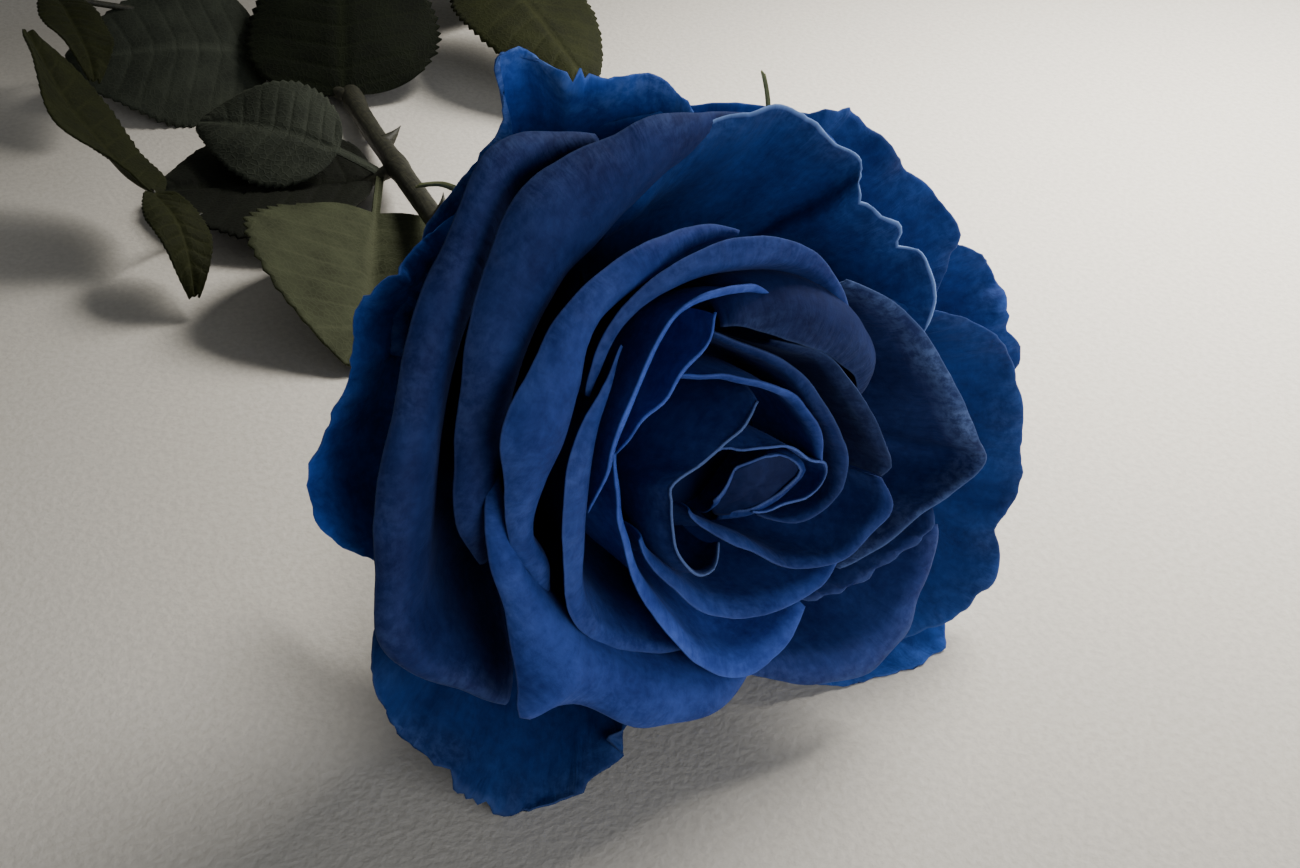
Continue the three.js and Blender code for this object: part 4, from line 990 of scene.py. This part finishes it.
# %% Calyx
HIP = [(0, -8), (2.8, -8), (4.0, -6.6), (5.0, -4.9), (5.9, -3.1), (6.25, -1.6), (6.2, -0.3), (5.8, 0.9),
       (5.3, 1.7), (0, 1.7)]
SEPALS = {
    "sepal_right_up": [(4, 0.4, 2.4, 45), (9, -0.4, 3.1, 45), (18, -2.5, 2.6, 45), (28, -3.5, 1.6, 43),
                       (38, -1.5, 0.8, 40), (46.5, 1, 0.45, 39), (48.2, 2.2, 0.4, 41.5),
                       (50.4, 3.8, 0.35, 46)],
    "sepal_top": [(4, 0.4, 2.4, 112), (9, -0.4, 3.1, 112), (17, -3, 2.4, 112), (24, -4.5, 1.3, 109),
                  (29.5, -4.3, 0.6, 106), (33.4, -4, 0.4, 109.5), (35.4, -4.4, 0.35, 114.5)],
    "sepal_left": [(4, 0.4, 2.4, 189), (9, -0.6, 3.2, 189), (16, -4, 2.8, 189), (22, -9, 2, 190),
                   (26, -15, 1.1, 192), (27, -20, 0.4, 194)],
    "sepal_low": [(4, 0.4, 2.4, 261), (9, -0.8, 3.2, 261), (14, -4, 2.8, 261), (18, -10, 2, 260),
                  (20, -16, 1.1, 258), (19, -22, 0.4, 255)],
    "sepal_right_low": [(4, 0.4, 2.4, 333), (9, -0.4, 3.2, 333), (17, -2.5, 2.7, 333),
                        (26, -5, 1.8, 332), (33, -9, 0.9, 330), (37, -13, 0.4, 328)],
}
SEPAL_STEPS, SEPAL_WIDTH = 60, 10
SEPAL_THICKNESS = 0.5
SEPAL_HOLLOW = 0.35
LOBE_DEPTH, LOBE_RATE = 0.22, 26
SEPAL_RIB = 0.3


def sepal(name, stations):
    along, length = through_stations(stations, lambda a, b: math.hypot(a[0] - b[0], a[1] - b[1]))
    bm, (vein,) = blank_sheet(SEPAL_STEPS, SEPAL_WIDTH, "vein")
    place = {}
    for vert in bm.verts:
        s, w = (vert.co.x + 1) / 2, vert.co.y
        radius, height, half, azimuth = along(s)
        aside = in_bloom(azimuth + 90, 1, 0) - BLOOM_BASE
        fringe = max(0, math.sin(LOBE_RATE * s)) * abs(w) ** 3 * smoothstep(0.15, 0.3, s) * (1 - s)
        reach = w * half * (1 + LOBE_DEPTH * fringe)
        fold = -SEPAL_HOLLOW * half * (math.hypot(w, 0.25) - 0.25)
        point = in_bloom(azimuth, radius, height) + aside * reach + AXIS * fold
        vert[vein] = math.exp(-(w * half / SEPAL_RIB) ** 2)
        place[vert] = (reach, s * length)
        vert.co = point * MM
    lay_skin(bm, place.get)
    return finished(bm, name, SEPAL_FINISH, "calyx", SEPAL_THICKNESS)


hip_mesh = turned(HIP)
hip_mesh.verts.layers.float.new("vein")
hip_mesh.loops.layers.uv.new("skin")
hip = finished(hip_mesh, "hip", SEPAL_FINISH, "calyx")
sepals = [sepal(name, stations) for name, stations in SEPALS.items()]
print("hip of", len(hip.data.polygons), "faces and", len(sepals), "sepals")

# %% [markdown]
# ## Leaves
# A rose leaf is compound: oval leaflets on a thin stalk, each with a saw edge, a sunken midrib and
# side veins that run out to the teeth. The blade puffs up a little between the veins. Each leaflet
# springs `at` a share of its stalk and ends at its `tip`. `cup` lifts its two sides (`left_cup` the left
# one alone), `turn` rolls it about its midrib in degrees, and `arch` bows it. `neck` is the bare share
# of its own stalk, and a `broad` below 1 moves its widest place towards the foot.

# %% Leaf plan
LEAVES = {
    "leaf_left": {
        "node": LEAF_NODES[0],
        "stalk": [(16, 116, 3.5), (5, 118, 2.2), (-8, 119, 2.2), (-18, 118, 6), (-25, 114.5, 14.5)],
        "leaflets": [
            dict(at=0.07, tip=(-8, 61, 3), width=49, cup=0.6, left_cup=0.1, arch=2, neck=0.27,
                 finish="pale"),
            dict(at=0.06, tip=(-7, 140, 16), width=25, cup=-0.1, turn=30, arch=6, neck=0.24, broad=0.75,
                 finish="grey"),
            dict(at=0.1, tip=(-20, 133, 5), width=46, cup=0, arch=1, broad=0.8, finish="dark"),
            dict(at=0.97, tip=(-35, 154, 30), width=22, cup=0.2, turn=-40, arch=-3, finish="olive"),
            dict(at=0.99, tip=(-25, 92, 7), width=12, cup=0.2, turn=20, arch=3, finish="olive"),
        ]},
    "leaf_back": {
        "node": LEAF_NODES[2],
        "stalk": [(26, 163, 4), (19, 177, 6), (3, 191, 13), (-19, 198, 20)],
        "leaflets": [
            dict(at=0.05, tip=(46, 190, 27), width=43, cup=-0.1, arch=4, broad=0.6, finish="deep"),
            dict(at=0.36, tip=(-20, 186, 12), width=42, cup=-0.1, turn=25, arch=4, broad=0.7,
                 finish="grey"),
            dict(at=0.98, tip=(-19, 165, 16), width=15, cup=0.2, turn=24, arch=2, finish="olive"),
        ]},
    "leaf_right": {
        "node": LEAF_NODES[1],
        "stalk": [(46, 184, 9), (60, 184, 16), (71, 173, 18)],
        "leaflets": [
            dict(at=0.98, tip=(70, 121, 12), width=30, cup=-0.2, arch=3, finish="olive"),
            dict(at=0.6, tip=(91, 192, 6), width=26, cup=-0.2, arch=4, finish="grey"),
        ]},
}
print(sum(len(leaf["leaflets"]) for leaf in LEAVES.values()), "leaflets on", len(LEAVES), "leaves")

# %% [markdown]
# A leaflet is one bmesh grid: its long side follows the midrib and its short side runs across. Each tooth
# gets six steps of the grid, so the saw edge is real geometry and not only a bump. The vein layer is
# written where the blade sinks.

# %% Leaflets
# teeth to a side; their depth is a share of the half width, their lean one of the length
TEETH, TOOTH_DEPTH, TOOTH_LEAN = 24, 0.06, 0.01
STEPS_A_TOOTH, BLADE_WIDTH = 6, 24
# side veins to a side, and the share of the length by which they run forward
SIDE_VEINS, VEIN_SLANT = 9, 0.13
# in mm: how broad the midrib and a side vein are, the neck, the blade's thickness and its puff
MIDRIB, BRANCH = 0.45, 0.35
NECK_WIDTH = 1.6
LEAF_THICKNESS = 0.4
PUFF = 0.35
# in mm: the depth and size of the slow waves in a blade, and the curl of its edge
HAND, HAND_SIZE = 1.1, 9
EDGE_CURL, CURL_RATE = 0.9, 9
BROAD = 0.85


def leaflet_half_width(share, plan):
    """Half the width, and the share of the blade proper: an oval behind a bare neck."""
    neck = plan.get("neck", 0)
    blade = clamp((share - neck) / (1 - neck))
    oval = math.sin(math.pi * (0.025 + 0.945 * blade ** plan.get("broad", BROAD))) ** 0.8
    return max(plan["width"] / 2 * oval * (share >= neck), NECK_WIDTH / 2 * (share < 0.9)), blade


def leaflet(name, node, start, plan):
    span = Vector(plan["tip"]) - FOOTPRINT_CENTRE - start
    turn = math.radians(plan.get("turn", 0))
    left_lift, right_lift = math.atan(plan.get("left_cup", plan["cup"])), math.atan(plan["cup"])
    level = Vector((span.y, -span.x, 0)).normalized()
    up = level.cross(span).normalized()
    level, up = level * math.cos(turn) + up * math.sin(turn), up * math.cos(turn) - level * math.sin(turn)
    seed = Vector((len(name) * 2.7, plan["width"] * 1.3, plan["arch"]))
    bm, (vein,) = blank_sheet(TEETH * STEPS_A_TOOTH, BLADE_WIDTH, "vein")
    place = {}
    for vert in bm.verts:
        s, w = (vert.co.x + 1) / 2, vert.co.y
        lift = left_lift if w < 0 else right_lift
        half, blade = leaflet_half_width(s, plan)
        # the saw edge: each tooth is cut back behind its point and leans forward
        saw = 1 - ((s * TEETH) % 1)
        rim = abs(w) ** 6 * smoothstep(0.06, 0.2, blade)
        reach = w * half * (1 - TOOTH_DEPTH * saw * rim)
        forward = s + TOOTH_LEAN * saw * rim * (1 - s)
        # the veins, sunk into the puffed blade
        side_vein = (blade - VEIN_SLANT * abs(w) ** 0.9) * SIDE_VEINS
        off_vein = abs(side_vein - round(side_vein)) / SIDE_VEINS * span.length
        midrib = math.exp(-(reach / MIDRIB) ** 2)
        branch = math.exp(-(off_vein / BRANCH) ** 2) * (1 - abs(w) ** 4) * smoothstep(0, 0.04, blade)
        puff = PUFF * (1 - branch) * (1 - w ** 4) * smoothstep(0, 1.5, abs(reach)) - PUFF * midrib
        drift = noise.noise(start / HAND_SIZE + Vector((s * 3, w * 1.2, 0)) + seed)
        hand = HAND * drift * smoothstep(0, 0.2, s)
        curl = EDGE_CURL * math.sin(CURL_RATE * s + seed.x) * abs(w) ** 3
        rise = (abs(reach) * math.sin(lift) + plan["arch"] * (4 * s * (1 - s) - s)
                + (puff + hand + curl) * smoothstep(0, 0.1, blade))
        point = start + span * forward + level * reach * math.cos(lift) + up * rise
        point.z = max(point.z, LIFT)
        vert[vein] = clamp(midrib + 0.7 * branch)
        place[vert] = (reach, s * span.length)
        vert.co = point * MM
    lay_skin(bm, place.get)
    return finished(bm, name, LEAF_FINISHES[plan["finish"]], node, LEAF_THICKNESS)


print("leaflet builder ready:", TEETH, "teeth and", SIDE_VEINS, "veins to a side")

# %% [markdown]
# A stalk is a thin rod that thickens at its foot. It starts just under the stem's bark, so that no hard
# seam shows there. The leaflets then spring from it in their places.

# %% Stalks and whole leaves
STALK_RADIUS, STALK_TAPER = 1.1, 0.45
STALK_FOOT, FOOT_REACH = 0.8, 0.06
STALK_RINGS, STALK_SIDES = 60, 12
STEM_COVER = 1.6


def stalk_radius(share, _angle):
    return STALK_RADIUS * (1 - STALK_TAPER * share) + STALK_FOOT * math.exp(-share / FOOT_REACH)


def stalk(leaf, path, length):
    """The leaf's own stalk: it starts where the stem's bark lets it out."""
    bm = bmesh.new()
    bm.verts.layers.float.new("vein")
    rod(bm, path, length, STALK_RINGS, STALK_SIDES, stalk_radius, first=STEM_COVER / length)
    return finished(bm, leaf + "_stalk", BARK_FINISH, leaf)


green_pieces = []
for name, plan in LEAVES.items():
    points = [stem_path(plan["node"])] + [Vector(p) - FOOTPRINT_CENTRE for p in plan["stalk"]]
    stalk_path, stalk_length = centripetal(points)
    green_pieces.append(stalk(name, stalk_path, stalk_length))
    for k, leaflet_plan in enumerate(plan["leaflets"]):
        start = stalk_path(leaflet_plan["at"])
        green_pieces.append(leaflet(f"{name}_leaflet_{k + 1}", name, start, leaflet_plan))
print(len(green_pieces), "leaflets and stalks")

# %% [markdown]
# ## Floor and light
# The floor is a pale sheet of rough paper. A small window lamp hangs close above the right of the
# flower; its narrow beam lights the rims and the paper on that side, and leaves the left in half shade.
# A broad, weak fill from the front keeps the hollows between the petals dark but not black. Lamps are
# placed in metres and their beams given in degrees.

# %% Floor and light
FLOOR_HALF = 3
PAPER_GRAIN = 900.0
AMBIENT = 0.14


def floor_finish():
    finish, tree, shader = new_finish("plain_paper", Roughness=0.9, Specular_IOR_Level=0.2)
    where = add_node(tree, "TexCoord", "Object")
    fibre = add_node(tree, "TexNoise", "Fac", {"Vector": where, "Scale": PAPER_GRAIN, "Detail": 4.0})
    felted = add_node(tree, "MapRange", "Result", (fibre, 0.35, 0.65))
    colour = add_node(tree, "Mix", MIXED, {
        SHARE: felted, FIRST: linear("#d0ccc3"), SECOND: linear("#dad6cd")}, data_type="RGBA")
    tree.links.new(colour, shader.inputs["Base Color"])
    relief = add_node(tree, "Bump", "Normal", {"Height": fibre, "Strength": 0.35, "Distance": 0.5 * MM})
    tree.links.new(relief, shader.inputs["Normal"])
    return finish


def soft_light(name, place, aim, size, power, colour, beam):
    lamp = bpy.data.lights.new(name, "AREA")
    lamp.size, lamp.energy, lamp.color = size, power, linear(colour)[:3]
    lamp.spread = math.radians(beam)
    holder = bpy.data.objects.new(name, lamp)
    bpy.context.scene.collection.objects.link(holder)
    holder.location = place
    holder.visible_camera = False
    holder.rotation_euler = (Vector(aim) - Vector(place)).to_track_quat("-Z", "Y").to_euler()


ground = bmesh.new()
bmesh.ops.create_grid(ground, x_segments=1, y_segments=1, size=FLOOR_HALF)
sheet = bpy.data.meshes.new("floor")
ground.to_mesh(sheet)
ground.free()
floor = bpy.data.objects.new("floor", sheet)
bpy.context.scene.collection.objects.link(floor)
sheet.materials.append(floor_finish())
soft_light("window", place=(0.28, 0.0, 0.26), aim=(0.13, -0.05, 0), size=0.2, power=0.81,
           colour="#fffaf2", beam=62)
soft_light("fill", place=(0.1, -1.05, 0.3), aim=(0, -0.12, 0.05), size=0.75, power=3.0,
           colour="#f2f4fa", beam=120)
world = bpy.data.worlds.new("studio")
bpy.context.scene.world = world
world.use_nodes = True
sky = world.node_tree.nodes["Background"]
sky.inputs["Color"].default_value = linear("#e6e6e4")
sky.inputs["Strength"].default_value = AMBIENT
